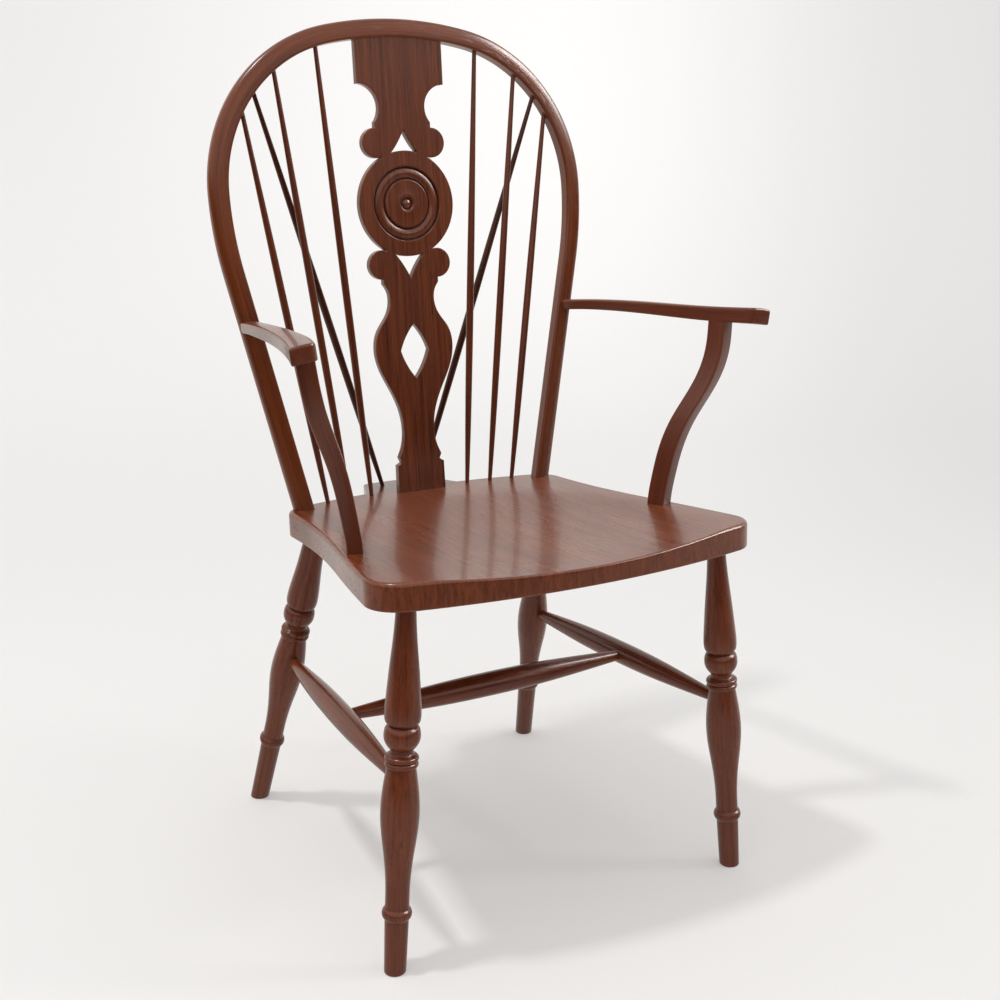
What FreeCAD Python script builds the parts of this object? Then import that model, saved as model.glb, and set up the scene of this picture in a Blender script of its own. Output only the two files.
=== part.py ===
"""Wheelback armchair: hoop back, pierced wheel splat, saddle seat on turned legs.

Frame: +X to the sitter's left as seen from the front (the viewer's right), +Y to the back, +Z up,
floor at Z = 0, symmetric about X = 0. All sizes in mm.
"""
import FreeCAD
import Part
import math
import os

V = FreeCAD.Vector
UP = V(0, 0, 1)
SIDES = (("left", -1), ("right", 1))

# Seat
SEAT_HEIGHT = 437.0
SEAT_PITCH = 2.6
SEAT_THICK = 31.0
SEAT_FRONT_Y = -261.0
SEAT_FRONT_RADIUS = 909.0
SEAT_CORNER_X = 215.0
SEAT_CORNER_RADIUS = 40.0
SEAT_SIDE_HEADING = 99.8
SEAT_SIDE = ((231.0, -114.0), (211.0, -16.0), (199.5, 71.0))
SEAT_REAR_HALF = 197.0
SEAT_REAR_HEADING = 91.5
SEAT_REAR_CORNER_X = 172.0
SEAT_BACK_Y = 186.0
SEAT_BACK_RADIUS = 641.0
SEAT_TOP_ROUND = 5.0
SEAT_BOTTOM_ROUND = 2.0
DISH_DEPTH = 12.0
DISH_CENTRE_Y = -149.0
DISH_HALF_WIDTH = 205.0
DISH_HALF_LENGTH = 255.0

# Joints
TENON_PLAY = 0.15
SOCKET_END_PLAY = 0.3

# Tail block behind the seat
TAIL_ROOT_HALF = 68.0
TAIL_END_HALF = 46.0
TAIL_END_Y = 245.0
TAIL_THICK = 25.0
TAIL_DROP = 1.5
TAIL_CORNER = 10.0
TAIL_EDGE = 2.0
DOWEL_RADIUS = 4.0
DOWEL_LENGTH = 40.0
DOWEL_X = 36.0

# Legs
FRONT_FOOT_X = 232.7
FRONT_FOOT_Y = -222.0
FRONT_FOOT = V(FRONT_FOOT_X, FRONT_FOOT_Y, 0)
FRONT_LEAN = V(-0.07049, 0.03756, 1)
BACK_FOOT_X = 212.8
BACK_FOOT_Y = 248.0
BACK_FOOT = V(BACK_FOOT_X, BACK_FOOT_Y, 0)
BACK_LEAN = V(-0.11625, -0.30925, 1)
FRONT_ANKLE = SEAT_HEIGHT * 0.16018
BACK_ANKLE = SEAT_HEIGHT * 0.22883
FOOT_RADIUS = 12.2
SHIN_RADIUS = 13.3
ANKLE_RADIUS = 16.6
LEG_SWELL_RADIUS = 21.2
COLLAR_RADIUS = 18.5
NECK_RADIUS = 12.6
BALL_RADIUS = 19.9
VASE_RADIUS = 19.8
LEG_TOP_RADIUS = 10.6
LEG_TENON_RADIUS = 9.5
LEG_TENON_DEPTH = 20.0

# Stretchers
STRETCHER_HEIGHT = SEAT_HEIGHT * 0.50458
STRETCHER_END_RADIUS = 6.8
STRETCHER_TENON_RADIUS = 6.0
STRETCHER_TENON = 14.0
SIDE_STRETCHER_RADIUS = 14.4
CROSS_STRETCHER_RADIUS = 15.2
CROSS_STRETCHER_Y = -26.0
CROSS_TENON = 9.0

# Bow
BOW_RAKE = 7.0
BOW_FOOT_Y = 141.0
BOW_FOOT_DROP = 6.0
BOW_BASE = V(0, BOW_FOOT_Y, SEAT_HEIGHT - BOW_FOOT_DROP)
BOW_SPARE = 14.0
BOW_FOOT_HALF = 174.4
BOW_HALF_WIDTH = 248.5
BOW_WIDEST = 389.0
BOW_FOOT_SLOPE = 1.1402 * (BOW_HALF_WIDTH - BOW_FOOT_HALF) / BOW_WIDEST
BOW_TOP = 587.0
BOW_CROWN_ANGLE = 12.0
BOW_WIDE = 23.0
BOW_DEEP = 16.5
BOW_OUTER_ROUND = 6.5
BOW_INNER_ROUND = 2.0
BOW_BACK_ROUND = 1.6
BOW_TENON_RADIUS = 6.5
BOW_TENON_DEPTH = 18.0

# Spindles and braces: foot x, foot y, foot drop below the seat height, top x
SPINDLES = (
    ("inner", 71.0, 163.0, 7.0, 110.4),
    ("middle", 104.5, 160.0, 7.0, 166.6),
    ("outer", 135.8, 155.0, 6.6, 210.6),
)
BRACE_FOOT_X = 28.5
BRACE_FOOT_Y = 219.6
BRACE_FOOT_DROP = 12.0
BRACE_FOOT = V(BRACE_FOOT_X, BRACE_FOOT_Y, SEAT_HEIGHT - BRACE_FOOT_DROP)
BRACE_TOP_X = 194.3
SPINDLE_END_RADIUS = 2.7
SPINDLE_SWELL_RADIUS = 4.8
SPINDLE_SWELL_AT = 0.42
SPINDLE_TOP_TENON = 9.0
SPINDLE_FOOT_TENON = 12.0
BRACE_FOOT_TENON = 14.0

# Splat
SPLAT_FOOT_Y = 160.0
SPLAT_FOOT_Z = SEAT_HEIGHT - 7.0
SPLAT_TOP_Z = SEAT_HEIGHT - BOW_FOOT_DROP + BOW_TOP - 23.0
SPLAT_THICK = 10.0
SPLAT_TOP = BOW_TOP - 10.0
SPLAT_BLOCK_HALF = 60.0
SCOOP_RADIUS = 28.0
SCOOP_END_X = 38.8
EAR_X = 39.3
EAR_RISE = 76.0
EAR_RADIUS = 18.2
EAR_STEM = 6.0
WHEEL_DROP = 216.0
WHEEL_HEIGHT = BOW_TOP - WHEEL_DROP
SPLAT_BLOCK_RISE = 147.3
SPLAT_BLOCK_LOW = WHEEL_HEIGHT + SPLAT_BLOCK_RISE
WHEEL_RADIUS = 66.0
SPLAT_FOOT_HALF = 34.2
SPLAT_FOOT_TOP = 35.8
SPLAT_TENON_HALF = 25.0
SPLAT_TENON_THICK = 6.0
SPLAT_TENON_DEPTH = 12.0
SPLAT_HEAD_TENON_HALF = 50.0
SPLAT_HEAD_TENON = 8.0
VASE_LOW = 46.0
NOTCH_POINT = (27.6, 39.4)

# Vase: half width, share of the way up from its low end to the stem of the ears
VASE_CURVE = (
    (33.5, 0.9631), (31.4, 0.9164), (36.0, 0.8296), (50.0, 0.7384), (55.3, 0.6272), (49.8, 0.5138),
    (36.5, 0.3915), (25.2, 0.2669), (21.8, 0.1588), (24.6, 0.0623), (30.4, 0.0),
)
UPPER_PIERCING = (18.3, 91.7)
LOWER_PIERCING = (19.8, 94.0)
PIERCING_BOW = 1.4
DIAMOND_HALF = 20.1
DIAMOND_MID = 0.6170
DIAMOND_TOP = 0.7678
DIAMOND_LOW = 0.4551
DIAMOND_BOW = 2.2
RING_OUTER = 45.6
RING_INNER = 31.0
RING_GROOVE = 2.4
BOSS_RADIUS = 6.4
BOSS_GROOVE = 1.6

# Arms: y, centre outward from the heel, rise of the top above the seat height, width, thickness,
# outward roll in degrees; the heel is fixed to the side of the bow
ARM_STATIONS = (
    (176.0, 0.0, 228.0, 21.5, 12.5, 0.0),
    (131.0, 8.0, 233.0, 20.0, 12.6, 1.5),
    (85.0, 15.7, 236.8, 19.6, 13.2, 3.0),
    (18.0, 24.4, 240.8, 21.5, 14.4, 4.5),
    (-49.0, 34.2, 243.4, 25.5, 15.8, 6.0),
    (-110.0, 47.6, 245.8, 28.8, 17.4, 7.5),
    (-165.0, 65.0, 248.8, 29.0, 18.4, 8.5),
)
ARM_HEEL_OUT = 1.4
ARM_CORNER = 2.6
ARM_HEEL_ROUND = 8.0
ARM_INNER_NOSE_ROUND = 5.5
ARM_OUTER_NOSE_ROUND = 2.0
ARM_RIM_ROUND = 1.2

# Arm posts: rise above the seat height, share of the way out from foot to head, centre y,
# width across the front face, depth; the head stands under the arm
POST_STATIONS = (
    (-12.0, -0.016, -86.6, 18.4, 23.6),
    (11.0, 0.0, -86.6, 18.4, 23.8),
    (38.0, 0.072, -87.4, 18.6, 24.2),
    (73.0, 0.194, -90.2, 19.2, 24.6),
    (106.0, 0.364, -96.4, 20.0, 24.8),
    (138.0, 0.595, -106.4, 20.8, 24.6),
    (168.0, 0.801, -114.2, 21.2, 23.8),
    (198.0, 0.929, -117.0, 21.2, 23.0),
    (235.0, 1.0, -114.8, 21.0, 22.4),
)
POST_FOOT_X = 207.9
POST_HEAD_OUT = 44.6
POST_TURN = 20.0
POST_CORNER = 1.8
POST_TENON_RADIUS = 6.5
POST_FOOT_TENON = 16.0
POST_HEAD_TENON = 8.0

# Arm fixing screws
SCREW_RADIUS = 2.1
SCREW_LENGTH = 32.0
SCREW_HEAD_RADIUS = 4.0
SCREW_HEAD_DEPTH = 3.0
PLUG_RADIUS = 5.0
PLUG_DEPTH = 4.5


def place(shape, base, direction):
    """Turn a shape drawn about Z so that Z runs along direction, and move it to base."""
    turned = shape.copy()
    turned.Placement = FreeCAD.Placement(base, FreeCAD.Rotation(UP, direction))
    return turned


def mirrored(shape, sign):
    if sign > 0:
        return shape.copy()
    return shape.mirror(V(0, 0, 0), V(1, 0, 0))


def pin(start, end, radius):
    """Round peg between two points."""
    return Part.makeCylinder(radius, (end - start).Length, start, end - start)


def turning(start, steps):
    """Solid turned about Z from an outline of (radius, height) points."""
    here = V(start[0], 0, start[1])
    edges = [Part.makeLine(V(0, 0, start[1]), here)]
    for kind, points in steps:
        chain = [V(r, 0, h) for r, h in points]
        if kind == "line":
            edges.append(Part.makeLine(here, chain[-1]))
        elif kind == "arc":
            edges.append(Part.Arc(here, chain[0], chain[1]).toShape())
        else:
            curve = Part.BSplineCurve()
            curve.interpolate([here] + chain)
            edges.append(curve.toShape())
        here = chain[-1]
    axis_end = V(0, 0, here.z)
    edges.append(Part.makeLine(here, axis_end))
    edges.append(Part.makeLine(axis_end, V(0, 0, start[1])))
    face = Part.Face(Part.Wire(edges))
    return face.revolve(V(0, 0, 0), UP, 360)


def rounded_rectangle(width, height, corners):
    """Wire in the XY plane, centred; corner radii run from +x+y anticlockwise."""
    signs = ((1, 1), (-1, 1), (-1, -1), (1, -1))
    k = math.sqrt(0.5)
    edges = []
    arcs = []
    for index, (sx, sy) in enumerate(signs):
        radius = corners[index]
        cx = sx * (width / 2 - radius)
        cy = sy * (height / 2 - radius)
        flat = V(cx + sx * radius, cy, 0)
        middle = V(cx + sx * radius * k, cy + sy * radius * k, 0)
        level = V(cx, cy + sy * radius, 0)
        arcs.append((flat, middle, level) if sx * sy > 0 else (level, middle, flat))
    for index in range(4):
        first, middle, last = arcs[index]
        edges.append(Part.Arc(first, middle, last).toShape())
        edges.append(Part.makeLine(last, arcs[(index + 1) % 4][0]))
    return Part.Wire(edges)


def seat_placement():
    return FreeCAD.Placement(V(0, 0, SEAT_HEIGHT), FreeCAD.Rotation(V(1, 0, 0), -SEAT_PITCH))


def heading(degrees):
    """Unit vector in plan, degrees anticlockwise from +X."""
    return V(math.cos(math.radians(degrees)), math.sin(math.radians(degrees)), 0)


def bend(start, first, last, radius):
    """Middle and end points of a left-hand arc that turns from one heading to another."""
    centre = start + heading(first + 90) * radius
    return centre + heading((first + last) / 2 - 90) * radius, centre + heading(last - 90) * radius


def dish_cutter():
    """Barrel shaped cutter that hollows the seat; the seat top is z = 0."""
    across = (DISH_HALF_WIDTH ** 2 + DISH_DEPTH ** 2) / (2 * DISH_DEPTH)
    along = (DISH_HALF_LENGTH ** 2 + DISH_DEPTH ** 2) / (2 * DISH_DEPTH)
    reach = DISH_HALF_WIDTH * 1.3
    lift = across - math.sqrt(across ** 2 - reach ** 2)
    left = V(-reach, DISH_CENTRE_Y, lift - DISH_DEPTH)
    right = V(reach, DISH_CENTRE_Y, lift - DISH_DEPTH)
    low = Part.Arc(left, V(0, DISH_CENTRE_Y, -DISH_DEPTH), right).toShape()
    rise = V(0, 0, 15.0)
    sides = [Part.makeLine(right, right + rise), Part.makeLine(right + rise, left + rise)]
    face = Part.Face(Part.Wire([low] + sides + [Part.makeLine(left + rise, left)]))
    pivot = V(0, DISH_CENTRE_Y, along - DISH_DEPTH)
    swing = math.degrees(math.asin(DISH_HALF_LENGTH * 1.3 / along))
    face.rotate(pivot, V(1, 0, 0), -swing)
    return face.revolve(pivot, V(1, 0, 0), 2 * swing)


def seat_blank():
    """Seat plank with its dish and rounded edges, before the sockets."""
    start = math.degrees(math.asin(SEAT_CORNER_X / SEAT_FRONT_RADIUS))
    drop = SEAT_FRONT_RADIUS * (1 - math.cos(math.radians(start)))
    corner = V(SEAT_CORNER_X, SEAT_FRONT_Y + drop, 0)
    knee, side_start = bend(corner, start, SEAT_SIDE_HEADING, SEAT_CORNER_RADIUS)
    finish = 180 - math.degrees(math.asin(SEAT_REAR_CORNER_X / SEAT_BACK_RADIUS))
    fall = SEAT_BACK_RADIUS * (1 - math.cos(math.radians(180 - finish)))
    rear = V(SEAT_REAR_CORNER_X, SEAT_BACK_Y - fall, 0)
    unit = bend(V(0, 0, 0), SEAT_REAR_HEADING, finish, 1.0)[1]
    radius = (SEAT_REAR_CORNER_X - SEAT_REAR_HALF) / unit.x
    side_end = rear - unit * radius
    heel = bend(side_end, SEAT_REAR_HEADING, finish, radius)[0]
    curve = Part.BSplineCurve()
    curve.interpolate(Points=[side_start] + [V(x, y, 0) for x, y in SEAT_SIDE] + [side_end],
                      InitialTangent=heading(SEAT_SIDE_HEADING), FinalTangent=heading(SEAT_REAR_HEADING))
    half = [
        Part.Arc(corner, knee, side_start).toShape(),
        curve.toShape(),
        Part.Arc(side_end, heel, rear).toShape(),
    ]
    flip = [edge.mirror(V(0, 0, 0), V(1, 0, 0)) for edge in half]
    front = Part.Arc(V(-corner.x, corner.y, 0), V(0, SEAT_FRONT_Y, 0), corner).toShape()
    back = Part.Arc(rear, V(0, SEAT_BACK_Y, 0), V(-rear.x, rear.y, 0)).toShape()
    outline = Part.Wire(Part.__sortEdges__([front] + half + [back] + flip))
    plank = Part.Face(outline).extrude(V(0, 0, -SEAT_THICK))
    low_edges = [edge for edge in plank.Edges if edge.BoundBox.ZMax < 0.01 - SEAT_THICK]
    plank = plank.makeFillet(SEAT_BOTTOM_ROUND, low_edges)
    top_edges = [edge for edge in plank.Edges if edge.BoundBox.ZMin > -0.01]
    plank = plank.makeFillet(SEAT_TOP_ROUND, top_edges)
    plank = plank.cut(dish_cutter())
    plank.Placement = seat_placement()
    return plank


def seat_point(x, y):
    """Point on the flat of the seat top."""
    return V(x, y, SEAT_HEIGHT - y * math.tan(math.radians(SEAT_PITCH)))


def leg_turning(ankle, top):
    """Leg drawn about Z: ankle is the height of the ankle ring above the floor end.

    The heights of the pattern are those for a seat 437 mm high, and stretch with the seat.
    """
    a = ankle
    u = SEAT_HEIGHT / 437.0
    steps = (
        ("curve", ((SHIN_RADIUS - 0.4, a - 30 * u), (SHIN_RADIUS, a - 7.5 * u))),
        ("line", ((SHIN_RADIUS + 1.6, a - 6.5 * u),)),
        ("arc", ((ANKLE_RADIUS, a), (SHIN_RADIUS + 1.6, a + 6.2 * u))),
        ("line", ((SHIN_RADIUS, a + 7.6 * u),)),
        ("curve", (
            (SHIN_RADIUS + 0.1, a + 30 * u), (SHIN_RADIUS + 3.0, a + 66 * u),
            (LEG_SWELL_RADIUS - 0.9, a + 98 * u), (LEG_SWELL_RADIUS, a + 117 * u),
            (LEG_SWELL_RADIUS - 1.4, a + 140 * u), (COLLAR_RADIUS - 2.4, a + 167 * u),
        )),
        ("line", ((COLLAR_RADIUS - 1.6, a + 168 * u),)),
        ("arc", ((COLLAR_RADIUS, a + 171.5 * u), (COLLAR_RADIUS - 1.5, a + 175 * u))),
        ("arc", ((COLLAR_RADIUS + 0.2, a + 178.2 * u), (COLLAR_RADIUS - 2.2, a + 181.5 * u))),
        ("curve", (
            (NECK_RADIUS + 0.4, a + 184.0 * u), (NECK_RADIUS, a + 186.5 * u),
            (NECK_RADIUS + 0.8, a + 189.0 * u),
        )),
        ("line", ((NECK_RADIUS + 2.0, a + 189.6 * u),)),
        ("arc", ((BALL_RADIUS, a + 203.5 * u), (BALL_RADIUS - 3.0, a + 214.8 * u))),
        ("line", ((VASE_RADIUS - 2.2, a + 216.4 * u),)),
        ("curve", (
            (VASE_RADIUS - 0.5, a + 221 * u), (VASE_RADIUS, a + 228 * u), (VASE_RADIUS - 0.9, a + 244 * u),
            (VASE_RADIUS - 4.4, a + 284 * u), (LEG_TOP_RADIUS + 1.6, a + 318 * u), (LEG_TOP_RADIUS, top),
        )),
    )
    return turning((FOOT_RADIUS, -12.0), steps)


def leg_axis(front, height):
    """Point on the leg axis at a height above the floor, right-hand side."""
    foot, lean = (FRONT_FOOT, FRONT_LEAN) if front else (BACK_FOOT, BACK_LEAN)
    return foot + lean * (height / lean.z)


def seat_underside(x, y):
    """Height of the seat underside above the floor."""
    slope = math.tan(math.radians(SEAT_PITCH))
    return SEAT_HEIGHT - y * slope - SEAT_THICK / math.cos(math.radians(SEAT_PITCH))


def make_legs(blank):
    """Right-hand front and back legs and their socket cutters."""
    legs = {}
    for name, front in (("front", True), ("back", False)):
        foot = FRONT_FOOT if front else BACK_FOOT
        lean = FRONT_LEAN if front else BACK_LEAN
        axis = V(lean).normalize()
        probe = leg_axis(front, SEAT_HEIGHT - SEAT_THICK)
        entry = leg_axis(front, seat_underside(probe.x, probe.y))
        length = (entry - foot).Length
        body = place(leg_turning(FRONT_ANKLE if front else BACK_ANKLE, length + 12.0), foot, lean)
        wide = 4 * foot.x
        body = body.common(Part.makeBox(wide, wide, 3 * SEAT_HEIGHT, V(-wide / 2, -wide / 2, 0)))
        body = body.cut(blank)
        body = max(body.Solids, key=lambda s: s.Volume)
        tip = entry + axis * LEG_TENON_DEPTH
        body = body.fuse(pin(entry - axis * 20, tip, LEG_TENON_RADIUS)).removeSplitter()
        socket = pin(entry - axis * 14, tip + axis * SOCKET_END_PLAY, LEG_TENON_RADIUS + TENON_PLAY)
        legs[name] = (body, socket)
    return legs


def stretcher_turning(length, radius, tenon):
    """Cigar shaped stretcher about Z, centred, with a round tenon at each end."""
    half = length / 2
    end = STRETCHER_END_RADIUS
    neck = STRETCHER_TENON_RADIUS
    steps = (
        ("line", ((neck, -half + 0.4),)),
        ("line", ((end, -half + 0.4),)),
        ("curve", ((end + (radius - end) * 0.34, -half * 0.78), (end + (radius - end) * 0.82, -half * 0.42),
                   (radius, 0), (end + (radius - end) * 0.82, half * 0.42),
                   (end + (radius - end) * 0.34, half * 0.78), (end, half - 0.4))),
        ("line", ((neck, half - 0.4),)),
        ("line", ((neck, half + tenon),)),
    )
    return turning((neck, -half - tenon), steps)


def bow_geometry():
    """Centre line of the bow in its own plane: crown arc, shoulder arc, flank arc and straight foot."""
    t = math.radians(BOW_CROWN_ANGLE)
    drop = BOW_TOP - BOW_WIDEST
    det = (1 - math.sin(t)) * (1 - math.cos(t)) - math.sin(t) * math.cos(t)
    shoulder = (BOW_HALF_WIDTH * (1 - math.cos(t)) - math.sin(t) * drop) / det
    crown = (BOW_HALF_WIDTH - shoulder * (1 - math.sin(t))) / math.sin(t)
    foot = math.atan(BOW_FOOT_SLOPE)
    reach = BOW_HALF_WIDTH - BOW_FOOT_HALF - BOW_FOOT_SLOPE * BOW_WIDEST
    flank = reach / ((1 - math.cos(foot)) - BOW_FOOT_SLOPE * math.sin(foot))
    return crown, shoulder, flank, t, foot


def bow_point(x, v, depth=0.0):
    """World point from bow-plane coordinates: across, up the plane, behind the plane."""
    c = math.cos(math.radians(BOW_RAKE))
    s = math.sin(math.radians(BOW_RAKE))
    return BOW_BASE + V(x, v * s + depth * c, v * c - depth * s)


def bow_curve_height(x, offset):
    """Height up the bow plane, at x, of the shoulder or crown curve offset inwards from the centre line."""
    crown, shoulder, flank, t, foot = bow_geometry()
    centre_x = BOW_HALF_WIDTH - shoulder
    if x < crown * math.sin(t) - offset * math.sin(t):
        return BOW_TOP - crown + math.sqrt((crown - offset) ** 2 - x ** 2)
    return BOW_WIDEST + math.sqrt((shoulder - offset) ** 2 - (x - centre_x) ** 2)


def bow_side(v):
    """Distance of the bow's middle line from the centre plane, up the straight foot and the flank."""
    crown, shoulder, flank, t, foot = bow_geometry()
    if v < BOW_WIDEST - flank * math.sin(foot):
        return BOW_FOOT_HALF + BOW_FOOT_SLOPE * v
    return BOW_HALF_WIDTH - flank + math.sqrt(flank ** 2 - (BOW_WIDEST - v) ** 2)


def bow_path(extra):
    """Open wire in the bow plane from the left foot over the crown to the right foot."""
    crown, shoulder, flank, t, foot = bow_geometry()
    turn_x = BOW_HALF_WIDTH - flank * (1 - math.cos(foot))
    turn_v = BOW_WIDEST - flank * math.sin(foot)
    half_foot = foot / 2
    flank_x = BOW_HALF_WIDTH - flank * (1 - math.cos(half_foot))
    points = {
        "low": (BOW_FOOT_HALF - BOW_FOOT_SLOPE * extra, -extra),
        "turn": (turn_x, turn_v),
        "flank": (flank_x, BOW_WIDEST - flank * math.sin(half_foot)),
        "wide": (BOW_HALF_WIDTH, BOW_WIDEST),
    }
    centre_x = BOW_HALF_WIDTH - shoulder
    mid = (t + math.pi / 2) / 2
    points["shoulder"] = (centre_x + shoulder * math.sin(mid), BOW_WIDEST + shoulder * math.cos(mid))
    points["crown"] = (crown * math.sin(t), BOW_TOP - crown * (1 - math.cos(t)))
    right = {key: V(x, 0, v) for key, (x, v) in points.items()}
    left = {key: V(-x, 0, v) for key, (x, v) in points.items()}
    edges = [
        Part.makeLine(left["low"], left["turn"]),
        Part.Arc(left["turn"], left["flank"], left["wide"]).toShape(),
        Part.Arc(left["wide"], left["shoulder"], left["crown"]).toShape(),
        Part.Arc(left["crown"], V(0, 0, BOW_TOP), right["crown"]).toShape(),
        Part.Arc(right["crown"], right["shoulder"], right["wide"]).toShape(),
        Part.Arc(right["wide"], right["flank"], right["turn"]).toShape(),
        Part.makeLine(right["turn"], right["low"]),
    ]
    return Part.Wire(edges)


def bow_placement():
    return FreeCAD.Placement(BOW_BASE, FreeCAD.Rotation(V(1, 0, 0), -BOW_RAKE))


def make_bow(blank):
    """Bent hoop with a round tenon on each foot, before its mortises."""
    path = bow_path(BOW_SPARE)
    start = path.OrderedVertexes[0].Point
    along = V(-BOW_FOOT_SLOPE, 0, 1)
    corners = (BOW_OUTER_ROUND, BOW_BACK_ROUND, BOW_BACK_ROUND, BOW_INNER_ROUND)
    section = rounded_rectangle(BOW_DEEP, BOW_WIDE, corners)
    turn = FreeCAD.Rotation(V(0, -1, 0), V(-1, 0, -BOW_FOOT_SLOPE), along, "XYZ")
    section.Placement = FreeCAD.Placement(start, turn)
    hoop = path.makePipeShell([section], True, False)
    hoop = Part.Solid(hoop) if hoop.ShapeType == "Shell" else hoop
    hoop.Placement = bow_placement()
    hoop = hoop.cut(blank)
    hoop = max(hoop.Solids, key=lambda s: s.Volume)
    sockets = []
    for side, sign in SIDES:
        foot = bow_point(BOW_FOOT_HALF * sign, 0)
        axis = bow_point((BOW_FOOT_HALF - BOW_FOOT_SLOPE * BOW_TOP) * sign, -BOW_TOP) - foot
        axis.normalize()
        tip = foot + axis * BOW_TENON_DEPTH
        hoop = hoop.fuse(pin(foot - axis * BOW_SPARE, tip, BOW_TENON_RADIUS))
        sockets.append(pin(foot - axis * 10, tip + axis * SOCKET_END_PLAY, BOW_TENON_RADIUS + TENON_PLAY))
    return hoop.removeSplitter(), sockets


def spindle_turning(length, foot_tenon, top_tenon):
    """Slender stick about Z from its foot, swelling below the middle."""
    end = SPINDLE_END_RADIUS
    swell = SPINDLE_SWELL_RADIUS
    at = length * SPINDLE_SWELL_AT
    steps = (
        ("line", ((end, 0),)),
        ("curve", (
            (end + (swell - end) * 0.50, at * 0.25), (end + (swell - end) * 0.92, at * 0.68),
            (swell, at), (end + (swell - end) * 0.86, at + (length - at) * 0.34),
            (end + (swell - end) * 0.38, at + (length - at) * 0.72), (end, length),
        )),
        ("line", ((end, length + top_tenon),)),
    )
    return turning((end, -foot_tenon), steps)


def stick(foot, top, foot_tenon):
    body = place(spindle_turning((top - foot).Length, foot_tenon, SPINDLE_TOP_TENON), foot, top - foot)
    axis = (top - foot).normalize()
    radius = SPINDLE_END_RADIUS + TENON_PLAY
    low = pin(foot + axis * 6, foot - axis * (foot_tenon + SOCKET_END_PLAY), radius)
    high = pin(top - axis * 6, top + axis * (SPINDLE_TOP_TENON + SOCKET_END_PLAY), radius)
    return body, low, high


def splat_placement():
    rake = math.degrees(math.atan2(splat_lean(), SPLAT_TOP_Z - SPLAT_FOOT_Z))
    return FreeCAD.Placement(V(0, SPLAT_FOOT_Y, SPLAT_FOOT_Z), FreeCAD.Rotation(V(1, 0, 0), -rake))


def splat_lean():
    """How far the bow's mid plane stands behind the splat foot at the splat top."""
    return BOW_BASE.y + (SPLAT_TOP_Z - BOW_BASE.z) * math.tan(math.radians(BOW_RAKE)) - SPLAT_FOOT_Y


def bowed(first, last, bulge):
    """Shallow arc between two points, bulging to the left of the way from first to last."""
    middle = (first + last) * 0.5
    way = (last - first).normalize()
    return Part.Arc(first, middle + V(-way.z, 0, way.x) * bulge, last).toShape()


def ear_stem():
    """Height of the foot of the short stem under the lower ears."""
    gap = math.sqrt(EAR_RADIUS ** 2 - (EAR_X - SCOOP_END_X) ** 2)
    return WHEEL_HEIGHT - EAR_RISE - gap - EAR_STEM


def up_the_vase(share):
    return VASE_LOW + share * (ear_stem() - VASE_LOW)


def splat_outline():
    """Closed outline of the splat in its own plane, X across and Z up."""
    upper = WHEEL_HEIGHT + EAR_RISE
    lower = WHEEL_HEIGHT - EAR_RISE
    scoop_v = SPLAT_BLOCK_LOW - SCOOP_RADIUS
    scoop_end = scoop_v - math.sqrt(SCOOP_RADIUS ** 2 - (SPLAT_BLOCK_HALF - SCOOP_END_X) ** 2)
    gap = math.sqrt(EAR_RADIUS ** 2 - (EAR_X - SCOOP_END_X) ** 2)
    reach = math.hypot(EAR_X, EAR_RISE)
    meet = (reach ** 2 + WHEEL_RADIUS ** 2 - EAR_RADIUS ** 2) / (2 * reach)
    lift = math.sqrt(max(WHEEL_RADIUS ** 2 - meet ** 2, 0.0))
    ux, uv = EAR_X / reach, EAR_RISE / reach
    cusp_x = ux * meet + uv * lift
    cusp_v = uv * meet - ux * lift
    k = math.sqrt(0.5)
    p = [V(SPLAT_BLOCK_HALF, 0, SPLAT_TOP), V(SPLAT_BLOCK_HALF, 0, SPLAT_BLOCK_LOW)]
    a = V(SCOOP_END_X, 0, scoop_end)
    b = V(SCOOP_END_X, 0, upper + gap)
    c = V(cusp_x, 0, WHEEL_HEIGHT + cusp_v)
    d = V(cusp_x, 0, WHEEL_HEIGHT - cusp_v)
    e = V(SCOOP_END_X, 0, lower - gap)
    f = V(SCOOP_END_X, 0, ear_stem())
    half = [
        Part.makeLine(p[0], p[1]),
        Part.Arc(p[1], V(SPLAT_BLOCK_HALF - SCOOP_RADIUS * k, 0, scoop_v + SCOOP_RADIUS * k), a).toShape(),
        Part.makeLine(a, b),
        Part.Arc(b, V(EAR_X + EAR_RADIUS, 0, upper), c).toShape(),
        Part.Arc(c, V(WHEEL_RADIUS, 0, WHEEL_HEIGHT), d).toShape(),
        Part.Arc(d, V(EAR_X + EAR_RADIUS, 0, lower), e).toShape(),
        Part.makeLine(e, f),
    ]
    curve = Part.BSplineCurve()
    curve.interpolate([f] + [V(x, 0, up_the_vase(share)) for x, share in VASE_CURVE])
    half.append(curve.toShape())
    g = V(VASE_CURVE[-1][0], 0, VASE_LOW)
    h = V(NOTCH_POINT[0], 0, NOTCH_POINT[1])
    i = V(SPLAT_FOOT_HALF - 0.6, 0, SPLAT_FOOT_TOP)
    j = V(SPLAT_FOOT_HALF, 0, -10.0)
    half += [Part.makeLine(g, h), Part.makeLine(h, i), Part.makeLine(i, j)]
    flip = [edge.mirror(V(0, 0, 0), V(1, 0, 0)) for edge in half]
    top = Part.makeLine(V(-SPLAT_BLOCK_HALF, 0, SPLAT_TOP), p[0])
    low = Part.makeLine(j, V(-j.x, 0, j.z))
    return Part.Wire(Part.__sortEdges__([top] + half + [low] + flip))


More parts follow.
